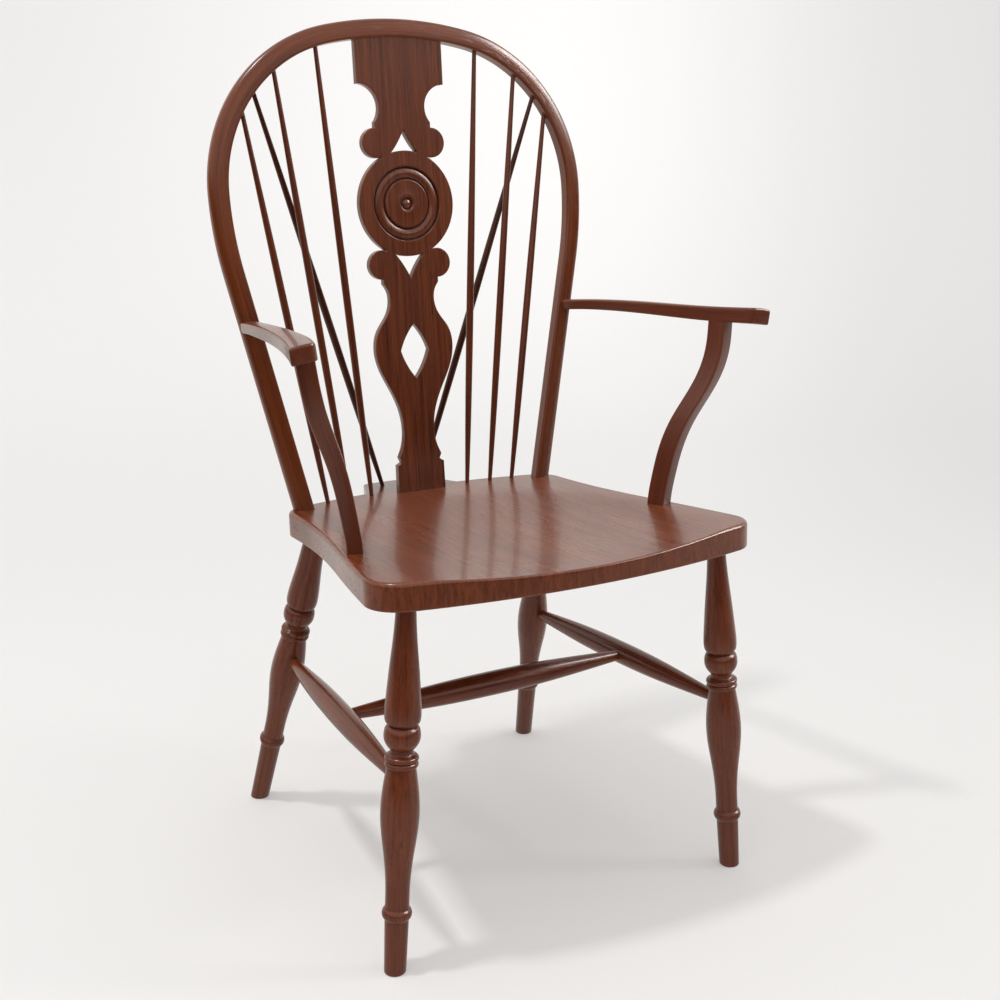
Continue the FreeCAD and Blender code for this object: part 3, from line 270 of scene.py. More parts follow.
def smooth_line(points, count, first=None, last=None):
    """Cubic curve through the points, by chord length, with the end directions if they are given."""
    p = np.asarray(points, dtype=complex if np.iscomplexobj(points) else float)
    p = p.reshape(len(p), -1)
    h = np.sqrt((np.abs(np.diff(p, axis=0)) ** 2).sum(axis=1))
    slope = np.diff(p, axis=0) / h[:, None]
    n = len(p)
    system = np.zeros((n, n))
    goal = np.zeros_like(p)
    inner = np.arange(1, n - 1)
    system[inner, inner - 1] = h[1:]
    system[inner, inner] = 2 * (h[:-1] + h[1:])
    system[inner, inner + 1] = h[:-1]
    goal[inner] = 3 * (h[1:, None] * slope[:-1] + h[:-1, None] * slope[1:])
    system[0, 0], system[0, 1], goal[0] = (2, 1, 3 * slope[0]) if first is None else (1, 0, first)
    system[-1, -1], system[-1, -2], goal[-1] = (2, 1, 3 * slope[-1]) if last is None else (1, 0, last)
    m = np.linalg.solve(system.astype(p.dtype), goal)
    knots = np.concatenate([[0], np.cumsum(h)])
    u = np.linspace(0, knots[-1], count)
    k = np.clip(np.searchsorted(knots, u, side="right") - 1, 0, n - 2)
    t = ((u - knots[k]) / h[k])[:, None]
    hk = h[k][:, None]
    line = (p[k] * (1 + 2 * t) * (1 - t) ** 2 + m[k] * hk * t * (1 - t) ** 2
            + p[k + 1] * t ** 2 * (3 - 2 * t) + m[k + 1] * hk * t ** 2 * (t - 1))
    return line[:, 0] if np.ndim(points[0]) == 0 else line


def arc_run(start, first, last, radius, count):
    """Plan arc from a start point that turns left from one heading to another, in degrees."""
    centre = start + radius * np.exp(1j * math.radians(first + 90))
    return centre + radius * np.exp(1j * np.radians(np.linspace(first, last, count) - 90))


def evenly(line, step):
    """The same closed line with its points spaced evenly along it."""
    ring = np.append(line, line[0])
    run = np.concatenate([[0], np.cumsum(np.abs(np.diff(ring)))])
    count = int(round(run[-1] / step))
    at = np.linspace(0, run[-1], count, endpoint=False)
    return np.interp(at, run, ring.real) + 1j * np.interp(at, run, ring.imag)


def seat_outline():
    """Front arc, corner arc, waisted side and rounded back, anticlockwise from the front middle."""
    start = math.degrees(math.asin(SEAT_CORNER_X / SEAT_FRONT_RADIUS))
    front = arc_run(1j * SEAT_FRONT_Y, 0, start, SEAT_FRONT_RADIUS, 40)
    corner = arc_run(front[-1], start, SEAT_SIDE_HEADING, SEAT_CORNER_RADIUS, 40)
    finish = 180 - math.degrees(math.asin(SEAT_REAR_CORNER_X / SEAT_BACK_RADIUS))
    back = arc_run(1j * SEAT_BACK_Y, 180, 360 - finish, SEAT_BACK_RADIUS, 40)
    rear = complex(SEAT_REAR_CORNER_X, back[-1].imag)
    unit = arc_run(0, SEAT_REAR_HEADING, finish, 1.0, 2)[1]
    radius = (SEAT_REAR_CORNER_X - SEAT_REAR_HALF) / unit.real
    side_end = rear - unit * radius
    ends = np.exp(1j * np.radians((SEAT_SIDE_HEADING, SEAT_REAR_HEADING)))
    side = smooth_line([corner[-1], *SEAT_SIDE, side_end], 160, ends[0], ends[1])
    heel = arc_run(side_end, SEAT_REAR_HEADING, finish, radius, 30)
    half = np.concatenate([front[:-1], corner[:-1], side[:-1], heel[:-1], -np.conj(back[::-1])])
    return evenly(np.concatenate([half[:-1], -np.conj(half[::-1])[:-1]]), 3.4)


def inward(line):
    """Unit normals of a closed plan line that run to its left, mitred at the corners."""
    before = line - np.roll(line, 1)
    after = np.roll(line, -1) - line
    a = 1j * before / np.abs(before)
    b = 1j * after / np.abs(after)
    return (a + b) / np.maximum(1 + (a * np.conj(b)).real, 0.35)


def crest(grid):
    """How sharply a grid of closed rows turns from row to row, per mm: above zero on an arris."""
    along = np.gradient(grid, axis=0)
    around = np.roll(grid, -1, axis=1) - np.roll(grid, 1, axis=1)
    normal = np.cross(along, around)
    normal /= np.linalg.norm(normal, axis=-1, keepdims=True) + 1e-9
    step = np.diff(grid, axis=0)
    length = np.linalg.norm(step, axis=-1, keepdims=True) + 1e-6
    turn = np.zeros(grid.shape[:2])
    change = np.diff(step / length, axis=0) / ((length[1:] + length[:-1]) / 2)
    turn[1:-1] = -(change * normal[1:-1]).sum(axis=-1)
    return turn


class Piece:
    """Patches of surface in mm, gathered into one closed mesh in metres with its grain, its rubbed edges
    and its hollows, darkened by gathered stain and painted shade.

    The shift moves the grain, so that no two pieces show the same figure.
    """

    def __init__(self, name, shift):
        self.name = name
        self.shift = np.array(shift, dtype=float)
        self.points = []
        self.faces = []
        self.grain = []
        self.wear = []

    def patch(self, points, faces, grain, wear):
        """Add points and faces; grain is each point's place in the plank, and a value above zero is rubbed,
        below zero a hollow with gathered stain and painted shade.
        """
        start = sum(len(p) for p in self.points)
        self.points.append(points)
        self.faces += [[start + i for i in face] for face in faces]
        self.grain.append(grain + self.shift)
        self.wear.append(wear)

    def grid(self, points, grain, wear, caps=(False, False)):
        """Rows of points that each close on themselves; a cap fills the first or last row."""
        rows, columns = points.shape[:2]
        index = np.arange(rows * columns).reshape(rows, columns)
        beside = np.roll(index, -1, axis=1)
        quads = np.stack([index[:-1], beside[:-1], beside[1:], index[1:]], axis=-1).reshape(-1, 4).tolist()
        if caps[0]:
            quads.append(index[0].tolist())
        if caps[1]:
            quads.append(index[-1].tolist())
        self.patch(points.reshape(-1, 3), quads, grain.reshape(-1, 3), wear.reshape(-1))

    def make(self, finish, node, sharp=180.0):
        """Join the patches at their seams and put the piece in the place of its node."""
        mesh = bpy.data.meshes.new(self.name)
        mesh.from_pydata((np.concatenate(self.points) * 0.001).tolist(), [], self.faces)
        grain = mesh.attributes.new("grain", "FLOAT_VECTOR", "POINT")
        grain.data.foreach_set("vector", (np.concatenate(self.grain) * 0.001).ravel())
        wear = mesh.attributes.new("wear", "FLOAT", "POINT")
        wear.data.foreach_set("value", np.clip(np.concatenate(self.wear), -1, 1))
        work = bmesh.new()
        work.from_mesh(mesh)
        bmesh.ops.remove_doubles(work, verts=work.verts, dist=2e-6)
        bmesh.ops.recalc_face_normals(work, faces=work.faces)
        work.to_mesh(mesh)
        work.free()
        mesh.shade_smooth()
        mesh.set_sharp_from_angle(angle=math.radians(sharp))
        mesh.materials.append(finish)
        piece = bpy.data.objects.new(self.name, mesh)
        bpy.context.scene.collection.objects.link(piece)
        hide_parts(node)
        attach(piece, "root")
        return piece


def seat_to_room(points):
    """Tip points drawn on the level seat back by its pitch and lift them to its height."""
    c, s = math.cos(math.radians(SEAT_PITCH)), math.sin(math.radians(SEAT_PITCH))
    x, y, z = points[..., 0], points[..., 1], points[..., 2]
    return np.stack([x, y * c + z * s, SEAT_HEIGHT - y * s + z * c], axis=-1)


def dish_height(plan):
    """Barrel hollow: an arc across the seat swung about a level axis far above it."""
    across = (DISH_HALF_WIDTH ** 2 + DISH_DEPTH ** 2) / (2 * DISH_DEPTH)
    along = (DISH_HALF_LENGTH ** 2 + DISH_DEPTH ** 2) / (2 * DISH_DEPTH)
    arch = along - across + np.sqrt(across ** 2 - plan.real ** 2)
    return along - DISH_DEPTH - np.sqrt(arch ** 2 - (plan.imag - DISH_CENTRE_Y) ** 2)


def seat_surface():
    """Rings from the middle of the top, over the edge, to the middle of the underside.

    The top is the lower of the flat with its rounded edge and the dish with a small rounded lip,
    blended over about a millimetre.
    """
    outline = seat_outline()
    inside = inward(outline)
    turn = np.radians(np.arange(0, 91, 9))
    near = np.concatenate([SEAT_TOP_ROUND * (1 - np.cos(turn)), [6.5, 9.0, 12.0, 16.0, 21.0]])
    rims = outline + near[:, None] * inside
    spokes = np.concatenate([np.linspace(0.96, 0.12, 30), [0.06, 0.02]])
    plan = np.concatenate([rims, FILL_MIDDLE + spokes[:, None] * (rims[-1] - FILL_MIDDLE)])
    depth_in = np.concatenate([near, np.full(len(spokes), 50.0)])[:, None]
    edge = SEAT_TOP_ROUND - np.sqrt(np.maximum(SEAT_TOP_ROUND ** 2 - (SEAT_TOP_ROUND - depth_in) ** 2, 0))
    edge = np.where(depth_in < SEAT_TOP_ROUND, edge, 0.0)
    lip = SEAT_LIP_ROUND - np.sqrt(np.maximum(SEAT_LIP_ROUND ** 2 - (SEAT_LIP_ROUND - depth_in) ** 2, 0))
    lip = np.where(depth_in < SEAT_LIP_ROUND, lip, 0.0)
    top = -DISH_SOFT * np.logaddexp(edge / DISH_SOFT, (lip - dish_height(plan)) / DISH_SOFT)
    top = np.stack([plan.real, plan.imag, top], axis=-1)[::-1]
    low = SEAT_BOTTOM_ROUND
    fall = np.linspace(0, 1, 8)[1:, None]
    side = top[-1, :, 2] * (1 - fall) + (low - SEAT_THICK) * fall
    side = np.stack(np.broadcast_arrays(outline.real, outline.imag, side), axis=-1)
    under_in = np.concatenate([low * (1 - np.cos(turn[1::2])), [4.0, 8.0]])
    under_z = np.concatenate([low * (1 - np.sin(turn[1::2])), [0.0, 0.0]]) - SEAT_THICK
    under = outline + under_in[:, None] * inside
    base = FILL_MIDDLE + np.linspace(0.9, 0.03, 12)[:, None] * (under[-1] - FILL_MIDDLE)
    under = np.concatenate([under, base])
    level = np.concatenate([under_z, np.full(12, -SEAT_THICK)])[:, None]
    under = np.stack([under.real, under.imag, np.broadcast_to(level, under.shape)], axis=-1)
    return np.concatenate([top, side, under])


def stained_wood(name, dark, light, figure=1.0, ring_gap=0.006, gloss=0.30, coat=0.25, ripple=0.4):
    """Open grained hardwood, stained dark and lacquered; the grain runs along the third grain axis.

    Streaks are noise drawn out along the grain, with its scale per metre across and along. They give
    the bands, stripes, flecks, fibres and pores. Above zero the point attribute is rubbed lighter; below
    zero it marks a hollow where the stain has gathered and painted shade darkens it further, and the
    lacquer is dull. The figure is how strongly the grain shows, the ring gap is half the space between
    two growth rings in metres, and the ripple is how far the surface waves under the lacquer.
    """
    wood = Tree(bpy.data.materials.new(name))
    grain = wood.add("ShaderNodeAttribute", {"attribute_name": "grain"}, output=1)
    wear = wood.add("ShaderNodeAttribute", {"attribute_name": "wear"}, output=2)

    def stretched(across, along):
        by = (across, across, along)
        return wood.add("ShaderNodeVectorMath", {"operation": "MULTIPLY"}, {0: grain, 1: by})

    def streaks(across, along, detail, rough=0.5):
        sockets = {"Vector": stretched(across, along), "Scale": 1.0, "Detail": detail, "Roughness": rough}
        return wood.add("ShaderNodeTexNoise", {}, sockets)

    def blend(share, first, second):
        return wood.add("ShaderNodeMix", {"data_type": "RGBA"}, {0: share, 6: first, 7: second}, output=2)

    def darker(part):
        return (*[c * part for c in dark], 1.0)

    sway = streaks(9.0, 1.6, 2.0)
    rings = wood.add("ShaderNodeTexWave", {
        "wave_type": "RINGS", "rings_direction": "Z", "wave_profile": "SAW"}, {
        "Vector": stretched(1.0, 0.05), "Scale": 0.155 / ring_gap, "Distortion": 5.0,
        "Detail": 2.0, "Detail Scale": 12.0}, output=1)
    bands = wood.smooth(streaks(230.0, 4.2, 3.0), 0.32, 0.68)
    stripes = wood.smooth(streaks(300.0, 7.0, 2.0), 0.60, 0.70)
    fibre = streaks(900.0, 12.0, 3.0, 0.6)
    flecks = wood.smooth(streaks(520.0, 13.0, 2.0, 0.6), 0.55, 0.68)
    pores = wood.smooth(streaks(1900.0, 46.0, 1.0), 0.60, 0.74)
    cloud = wood.smooth(streaks(14.0, 6.0, 2.0), 0.32, 0.70)
    shade = bands * (0.16 + 0.20 * figure) + rings * 0.20 * figure + fibre * 0.42 + sway * 0.30 - 0.10
    ground = blend(wood.smooth(shade, 0.0, 1.0), darker(1.0), (*light, 1.0))
    ground = blend(cloud * 0.14, ground, darker(0.6))
    ground = blend(flecks * (0.16 + 0.32 * figure), ground, darker(0.36))
    ground = blend(stripes * (0.20 + 0.40 * figure), ground, darker(0.42))
    ground = blend(pores * 0.34, ground, darker(0.3))
    rubbed = wood.smooth(wear + (fibre - 0.5) * 0.5 + (cloud - 0.5) * 0.3, 0.45, 1.1)
    # Hollows are darkened partly by gathered stain and partly by painted shade in the creases and grooves.
    hollow = wood.smooth(wear, -0.12, -0.75)
    ground = blend(rubbed * 0.14, ground, (light[0] * 1.5, light[1] * 1.8, light[2] * 2.2, 1.0))
    ground = blend(hollow * 0.75, ground, darker(0.25))
    rough = cloud * 0.06 + pores * 0.16 + fibre * 0.08 + hollow * 0.25 - rubbed * 0.04 + (gloss - 0.04)
    height = fibre * 0.25 - pores * 0.8 + sway * 0.5 + bands * 0.5 + streaks(190.0, 24.0, 2.0) * ripple
    bump = wood.add("ShaderNodeBump", {}, {"Strength": 0.28, "Distance": 0.00025, "Height": height})
    coating = (1.0 - hollow) * coat if coat > 0 else 0.0
    lacquer = wood.add("ShaderNodeBsdfPrincipled", {}, {
        "Base Color": ground, "Roughness": rough, "Normal": bump, "IOR": 1.45,
        "Coat Weight": coating, "Coat Roughness": 0.10, "Coat IOR": 1.45})
    return wood.finish(lacquer)


seat_wood = stained_wood("seat_wood", (0.108, 0.0205, 0.0045), (0.230, 0.054, 0.0160),
                         0.9, 0.007, 0.26, 0.25, 2.5)
surface = seat_surface()
plank = Piece("seat_plank", (40.0, 900.0, 0.0))
# The grain changes little through the thickness, so its lines run straight down the edges.
plank_grain = surface[..., (0, 2, 1)] * (1.0, 0.15, 1.0)
edge_wear = np.clip(np.abs(crest(surface)), 0, 0.4) * 0.9
plank.grid(seat_to_room(surface), plank_grain, edge_wear, caps=(True, True))
plank.make(seat_wood, "seat")


# Bobtail
# A tapered block of the same wood, joined to the middle of the seat's back edge with two glued pegs.
# The two braces stand in it.
TAIL_ROOT_HALF = 70.2
TAIL_ROOT_Y = 180.0
TAIL_END_HALF = 46.0
TAIL_END_Y = 245.0
TAIL_THICK = 25.0
TAIL_DROP = 1.5
TAIL_CORNER = 10.0
TAIL_EDGE = 2.0


def rounded_corners(corners, radii, step=0.8):
    """Closed plan line through the corners, each cut back by an arc of its own radius."""
    line = []
    for k, (corner, radius) in enumerate(zip(corners, radii)):
        back = corners[k - 1] - corner
        on = corners[(k + 1) % len(corners)] - corner
        back, on = back / abs(back), on / abs(on)
        half = math.acos((back * on.conjugate()).real) / 2
        if radius <= 0:
            line.append(np.array([corner]))
            continue
        reach = radius / math.tan(half)
        heart = corner + (back + on) / abs(back + on) * radius / math.sin(half)
        start = np.angle(corner + back * reach - heart)
        swing = np.angle((corner + on * reach - heart) / (corner + back * reach - heart))
        count = max(4, int(abs(swing) * radius / step))
        line.append(heart + radius * np.exp(1j * (start + swing * np.linspace(0, 1, count))))
    return np.concatenate(line)


def edge_band(line, thick, round_edge, flat=1.2):
    """Rows over the edge of a board: level margin, rounded arris, wall, rounded arris, level margin."""
    turn = np.radians(np.linspace(0, 90, 6))
    cut = np.concatenate([[round_edge + flat], round_edge * (1 - np.sin(turn))])
    high = np.concatenate([[thick / 2], thick / 2 - round_edge * (1 - np.cos(turn))])
    cut = np.concatenate([cut, [0.0], cut[::-1]])
    high = np.concatenate([high, [0.0], -high[::-1]])
    plan = line + cut[:, None] * inward(line)
    level = np.broadcast_to(high[:, None], plan.shape)
    return np.stack([plan.real, plan.imag, level], axis=-1)


def within(points, loop):
    """Whether each plan point lies inside a closed line, by how often a level ray crosses it."""
    a, b = loop, np.roll(loop, -1)
    spans = (a.imag > points.imag[:, None]) != (b.imag > points.imag[:, None])
    rise = np.where(a.imag == b.imag, 1.0, b.imag - a.imag)
    reach = a.real + (points.imag[:, None] - a.imag) / rise * (b.real - a.real)
    return (spans & (reach > points.real[:, None])).sum(axis=1) % 2 == 1


def flat_fill(loops):
    """Triangles that fill the first closed line and leave out the others."""
    points = [(float(p.real), float(p.imag)) for loop in loops for p in loop]
    edges = []
    start = 0
    for loop in loops:
        count = len(loop)
        edges += [(start + k, start + (k + 1) % count) for k in range(count)]
        start += count
    found, _, faces, *_ = delaunay_2d_cdt(points, edges, [], 1, 1e-5)
    found = np.array([complex(p[0], p[1]) for p in found])
    faces = np.array([list(face) for face in faces])
    hearts = found[faces].mean(axis=1)
    kept = within(hearts, loops[0])
    for hole in loops[1:]:
        kept &= ~within(hearts, hole)
    return np.column_stack([found.real, found.imag]), faces[kept].tolist()


def board_edges(piece, loops, thick, round_edge, to_room):
    """Edges of a board, worn on both arrises: the first line is its outline, the rest are holes."""
    bands = [edge_band(loop, thick, round_edge) for loop in loops]
    for band in bands:
        wear = np.zeros(band.shape[:2])
        wear[3:5] = 0.9
        wear[-5:-3] = 0.9
        piece.grid(to_room(band), band[..., (0, 2, 1)], wear)
    return bands


def board_faces(piece, bands, thick, to_room, front_hole=None):
    """Flat front and back between the edges of a board; the front can leave out a carved part."""
    for row, level in ((0, 1), (-1, -1)):
        rims = [band[row, :, 0] + 1j * band[row, :, 1] for band in bands]
        if level > 0 and front_hole is not None:
            rims.append(front_hole)
        flat, faces = flat_fill(rims)
        face = np.column_stack([flat, np.full(len(flat), level * thick / 2)])
        piece.patch(to_room(face), faces, face[:, (0, 2, 1)], np.zeros(len(flat)))


def tail_to_room(points):
    """Place of a point drawn about the middle of the block's thickness, a little under the seat's top."""
    return seat_to_room(points - (0.0, 0.0, TAIL_DROP + TAIL_THICK / 2))


tail_wood = stained_wood("tail_wood", (0.070, 0.0160, 0.0060), (0.140, 0.042, 0.0190),
                         0.7, 0.006, 0.27, 0.40)
tail_corners = [complex(TAIL_ROOT_HALF, TAIL_ROOT_Y), complex(TAIL_END_HALF, TAIL_END_Y),
                complex(-TAIL_END_HALF, TAIL_END_Y), complex(-TAIL_ROOT_HALF, TAIL_ROOT_Y)]
tail_line = evenly(rounded_corners(tail_corners, [0.0, TAIL_CORNER, TAIL_CORNER, 0.0]), 1.5)
tail = Piece("tail_block", (-70.0, 300.0, 120.0))
tail_bands = board_edges(tail, [tail_line], TAIL_THICK, TAIL_EDGE, tail_to_room)
board_faces(tail, tail_bands, TAIL_THICK, tail_to_room)
tail.make(tail_wood, "bobtail")


# Bow
# One rod, steamed and bent to a hoop, with a crowned face, a square inner side and a rounded outer
# side. Its feet are pegged into the seat.
BOW_RAKE = 7.0
BOW_BASE = (0.0, 141.0, 431.0)
BOW_FOOT_HALF = 174.4
BOW_FOOT_SLOPE = 0.2172
BOW_HALF_WIDTH = 248.5
BOW_WIDEST = 389.0
BOW_TOP = 587.0
BOW_CROWN_ANGLE = 12.0
BOW_WIDE = 23.0
BOW_DEEP = 16.5
BOW_INNER_ROUND = 2.6
BOW_SUNK = 4.0


def bow_to_room(across, up, behind):
    """Room place of a point across, up and behind the raked plane of the bow."""
    c, s = math.cos(math.radians(BOW_RAKE)), math.sin(math.radians(BOW_RAKE))
    across, up, behind = np.broadcast_arrays(across, up, behind)
    return np.stack([across, BOW_BASE[1] + up * s + behind * c, BOW_BASE[2] + up * c - behind * s], axis=-1)


def bow_radii():
    """Radii of the crown, shoulder and flank arcs that join smoothly on to the straight foot."""
    t = math.radians(BOW_CROWN_ANGLE)
    drop = BOW_TOP - BOW_WIDEST
    det = (1 - math.sin(t)) * (1 - math.cos(t)) - math.sin(t) * math.cos(t)
    shoulder = (BOW_HALF_WIDTH * (1 - math.cos(t)) - math.sin(t) * drop) / det
    crown = (BOW_HALF_WIDTH - shoulder * (1 - math.sin(t))) / math.sin(t)
    foot = math.atan(BOW_FOOT_SLOPE)
    reach = BOW_HALF_WIDTH - BOW_FOOT_HALF - BOW_FOOT_SLOPE * BOW_WIDEST
    flank = reach / ((1 - math.cos(foot)) - BOW_FOOT_SLOPE * math.sin(foot))
    return crown, shoulder, flank, foot


def bow_line(sunk):
    """Centre line in the bow's plane, from the right foot over the crown to the left foot."""
    crown, shoulder, flank, foot = bow_radii()
    wide = complex(BOW_HALF_WIDTH, BOW_WIDEST)
    flank_run = wide - flank + flank * np.exp(1j * np.linspace(-foot, 0, 60))
    low = complex(BOW_FOOT_HALF - BOW_FOOT_SLOPE * sunk, -sunk)
    straight = np.linspace(0, 1, 40)[:-1] * (flank_run[0] - low) + low
    rise = math.pi / 2 - math.radians(BOW_CROWN_ANGLE)
    shoulder_run = wide - shoulder + shoulder * np.exp(1j * np.linspace(0, rise, 70))
    crown_run = 1j * (BOW_TOP - crown) + crown * np.exp(1j * np.linspace(rise, math.pi / 2, 24))
    half = np.concatenate([straight, flank_run[:-1], shoulder_run[:-1], crown_run])
    return np.concatenate([half, -np.conj(half[::-1])[1:]])


def bow_section():
    """Closed line round the rod, behind + across i: square inner side, crowned face, rounded outer side."""
    b, w = BOW_DEEP / 2, BOW_WIDE / 2
    turn = np.exp(1j * np.radians(np.linspace(-90, -180, 8)))
    arris = complex(-b, -w) + BOW_INNER_ROUND * (1 + 1j + turn)
    face = smooth_line([arris[-1], complex(-b + 0.05, -w + 5.0), complex(-b + 0.65, -w + 11.0),
                        complex(-b + 2.3, w - 5.2), complex(-b + 4.9, w - 1.4), complex(-0.2, w)], 32)
    back = rounded_corners([complex(0.0, w), complex(b, w), complex(b, -w), complex(-b, -w)],
                           [0.0, 2.4, 1.6, 0.0], 0.4)
    inner = [complex(b - 6.0, -w), complex(-b + 4.0, -w)]
    return np.concatenate([arris, face[1:], back[1:-1], inner])


def carried(line, section, to_room):
    """A section carried square to a plane line: one closed row round the section at each of its points."""
    way = np.gradient(line)
    plan = line[:, None] - 1j * (way / np.abs(way))[:, None] * section.imag
    depth = np.broadcast_to(section.real, plan.shape)
    return to_room(plan.real, plan.imag, depth)


def turn_per_mm(line):
    """How sharply a closed line turns at each of its points, above zero where it bulges."""
    after = np.roll(line, -1) - line
    before = line - np.roll(line, 1)
    turn = np.angle(after / before) / ((np.abs(after) + np.abs(before)) / 2)
    return turn * np.sign(turn.sum())


bent_wood = stained_wood("bent_wood", (0.110, 0.0210, 0.0046), (0.260, 0.064, 0.0170),
                         0.4, 0.004, 0.19, 0.1)
line = bow_line(BOW_SUNK)
section = bow_section()
hoop_surface = carried(line, section, bow_to_room)
run = np.concatenate([[0], np.cumsum(np.abs(np.diff(line)))])
hoop_grain = np.stack(np.broadcast_arrays(section.imag, section.real, run[:, None]), axis=-1)
hoop_wear = np.broadcast_to(turn_per_mm(section) * 1.1, (len(line), len(section)))
hoop = Piece("bent_bow", (15.0, 500.0, -300.0))
hoop.grid(hoop_surface, hoop_grain, hoop_wear, caps=(True, True))
hoop.make(bent_wood, "bow", 50.0)


# Splat
# A thin board with upright grain, fretted to a wheel between scrolled ears and a pierced vase.
# A ring and a boss are carved in its front. It is let into the seat and the bow.
SPLAT_FOOT = (160.0, 430.0)
SPLAT_TOP_Z = 995.0
SPLAT_THICK = 10.0
SPLAT_TOP = 578.0
SPLAT_BLOCK_HALF = 60.0
SPLAT_BLOCK_LOW = 518.3
SCOOP_RADIUS = 28.0
SCOOP_END_X = 38.8
EAR_X = 39.3
EAR_RISE = 76.0
EAR_RADIUS = 18.2
WHEEL_HEIGHT = 371.0
WHEEL_RADIUS = 66.0
SPLAT_FOOT_HALF = 34.2
SPLAT_FOOT_TOP = 35.8
VASE_CURVE = (33.5 + 262.5j, 31.4 + 252.0j, 36.0 + 232.5j, 50.0 + 212.0j, 55.3 + 187.0j, 49.8 + 161.5j,
              36.5 + 134.0j, 25.2 + 106.0j, 21.8 + 81.7j, 24.6 + 60.0j, 30.4 + 46.0j)
NOTCH_POINT = 27.6 + 39.4j
# Half width at the wheel, and reach of the tip from the wheel's middle.
UPPER_PIERCING = (18.3, 91.7)
LOWER_PIERCING = (19.8, 94.0)
PIERCING_BOW = 1.4
# Half width, and heights of its widest place, its top and its bottom.
DIAMOND = (20.1, 184.7, 218.6, 148.3)
DIAMOND_BOW = 2.2
RING_OUTER = 45.6
RING_INNER = 31.0
RING_GROOVE = 3.2
BOSS_RADIUS = 6.4
BOSS_GROOVE = 2.8
PIT_REACH = 14.0
SPLAT_EDGE = 0.7


def splat_to_room(points):
    """Stand a point of the splat, across, up and thickness, on the seat and lean it back to the bow."""
    lean = BOW_BASE[1] + (SPLAT_TOP_Z - BOW_BASE[2]) * math.tan(math.radians(BOW_RAKE)) - SPLAT_FOOT[0]
    tilt = math.atan2(lean, SPLAT_TOP_Z - SPLAT_FOOT[1])
    x, up, front = points[..., 0], points[..., 1], points[..., 2]
    y = SPLAT_FOOT[0] + up * math.sin(tilt) - front * math.cos(tilt)
    z = SPLAT_FOOT[1] + up * math.cos(tilt) + front * math.sin(tilt)
    return np.stack([x, y, z], axis=-1)


def arc_through(first, middle, last, step=1.0):
    """Arc through three plan points."""
    a, b, c = first, middle, last
    w = (c - a) / (b - a)
    heart = (b - a) * (w - abs(w) ** 2) / (2j * w.imag) + a
    radius = abs(a - heart)
    swing = np.angle((b - heart) / (a - heart)) + np.angle((c - heart) / (b - heart))
    count = max(3, int(abs(swing) * radius / step) + 1)
    return heart + (a - heart) * np.exp(1j * swing * np.linspace(0, 1, count))


def bulged(first, last, bulge):
    """Shallow arc that bulges to the left of the way from first to last."""
    way = (last - first) / abs(last - first)
    return arc_through(first, (first + last) / 2 + 1j * way * bulge, last)


def straight_run(first, last, step=1.5):
    """Points along a straight line, both ends included."""
    return np.linspace(first, last, max(2, int(abs(last - first) / step) + 1))


def splat_outline():
    """Right half from the foot up to the top, then its mirror image, anticlockwise."""
    upper = WHEEL_HEIGHT + EAR_RISE
    lower = WHEEL_HEIGHT - EAR_RISE
    scoop_v = SPLAT_BLOCK_LOW - SCOOP_RADIUS
    scoop_end = scoop_v - math.sqrt(SCOOP_RADIUS ** 2 - (SPLAT_BLOCK_HALF - SCOOP_END_X) ** 2)
    gap = math.sqrt(EAR_RADIUS ** 2 - (EAR_X - SCOOP_END_X) ** 2)
    reach = math.hypot(EAR_X, EAR_RISE)
    meet = (reach ** 2 + WHEEL_RADIUS ** 2 - EAR_RADIUS ** 2) / (2 * reach)
    lift = math.sqrt(max(WHEEL_RADIUS ** 2 - meet ** 2, 0.0))
    cusp_x = (EAR_X * meet + EAR_RISE * lift) / reach
    cusp_v = (EAR_RISE * meet - EAR_X * lift) / reach
    k = math.sqrt(0.5)
    ear_low = complex(SCOOP_END_X, lower - gap)
    vase_top = ear_low - 6.0j
    runs = [
        straight_run(complex(SPLAT_FOOT_HALF, -5.0), complex(SPLAT_FOOT_HALF - 0.6, SPLAT_FOOT_TOP)),
        straight_run(complex(SPLAT_FOOT_HALF - 0.6, SPLAT_FOOT_TOP), NOTCH_POINT),
        straight_run(NOTCH_POINT, VASE_CURVE[-1]),
        smooth_line([vase_top, *VASE_CURVE], 300)[::-1],
        straight_run(vase_top, ear_low),
        arc_through(ear_low, complex(EAR_X + EAR_RADIUS, lower), complex(cusp_x, WHEEL_HEIGHT - cusp_v)),
        arc_through(complex(cusp_x, WHEEL_HEIGHT - cusp_v), complex(WHEEL_RADIUS, WHEEL_HEIGHT),
                    complex(cusp_x, WHEEL_HEIGHT + cusp_v)),
        arc_through(complex(cusp_x, WHEEL_HEIGHT + cusp_v), complex(EAR_X + EAR_RADIUS, upper),
                    complex(SCOOP_END_X, upper + gap)),
        straight_run(complex(SCOOP_END_X, upper + gap), complex(SCOOP_END_X, scoop_end)),
        arc_through(complex(SCOOP_END_X, scoop_end),
                    complex(SPLAT_BLOCK_HALF - SCOOP_RADIUS * k, scoop_v + SCOOP_RADIUS * k),
                    complex(SPLAT_BLOCK_HALF, SPLAT_BLOCK_LOW)),
        straight_run(complex(SPLAT_BLOCK_HALF, SPLAT_BLOCK_LOW), complex(SPLAT_BLOCK_HALF, SPLAT_TOP)),
    ]
    half = np.concatenate([run[:-1] for run in runs] + [runs[-1][-1:]])
    return np.concatenate([half, -np.conj(half[::-1])])


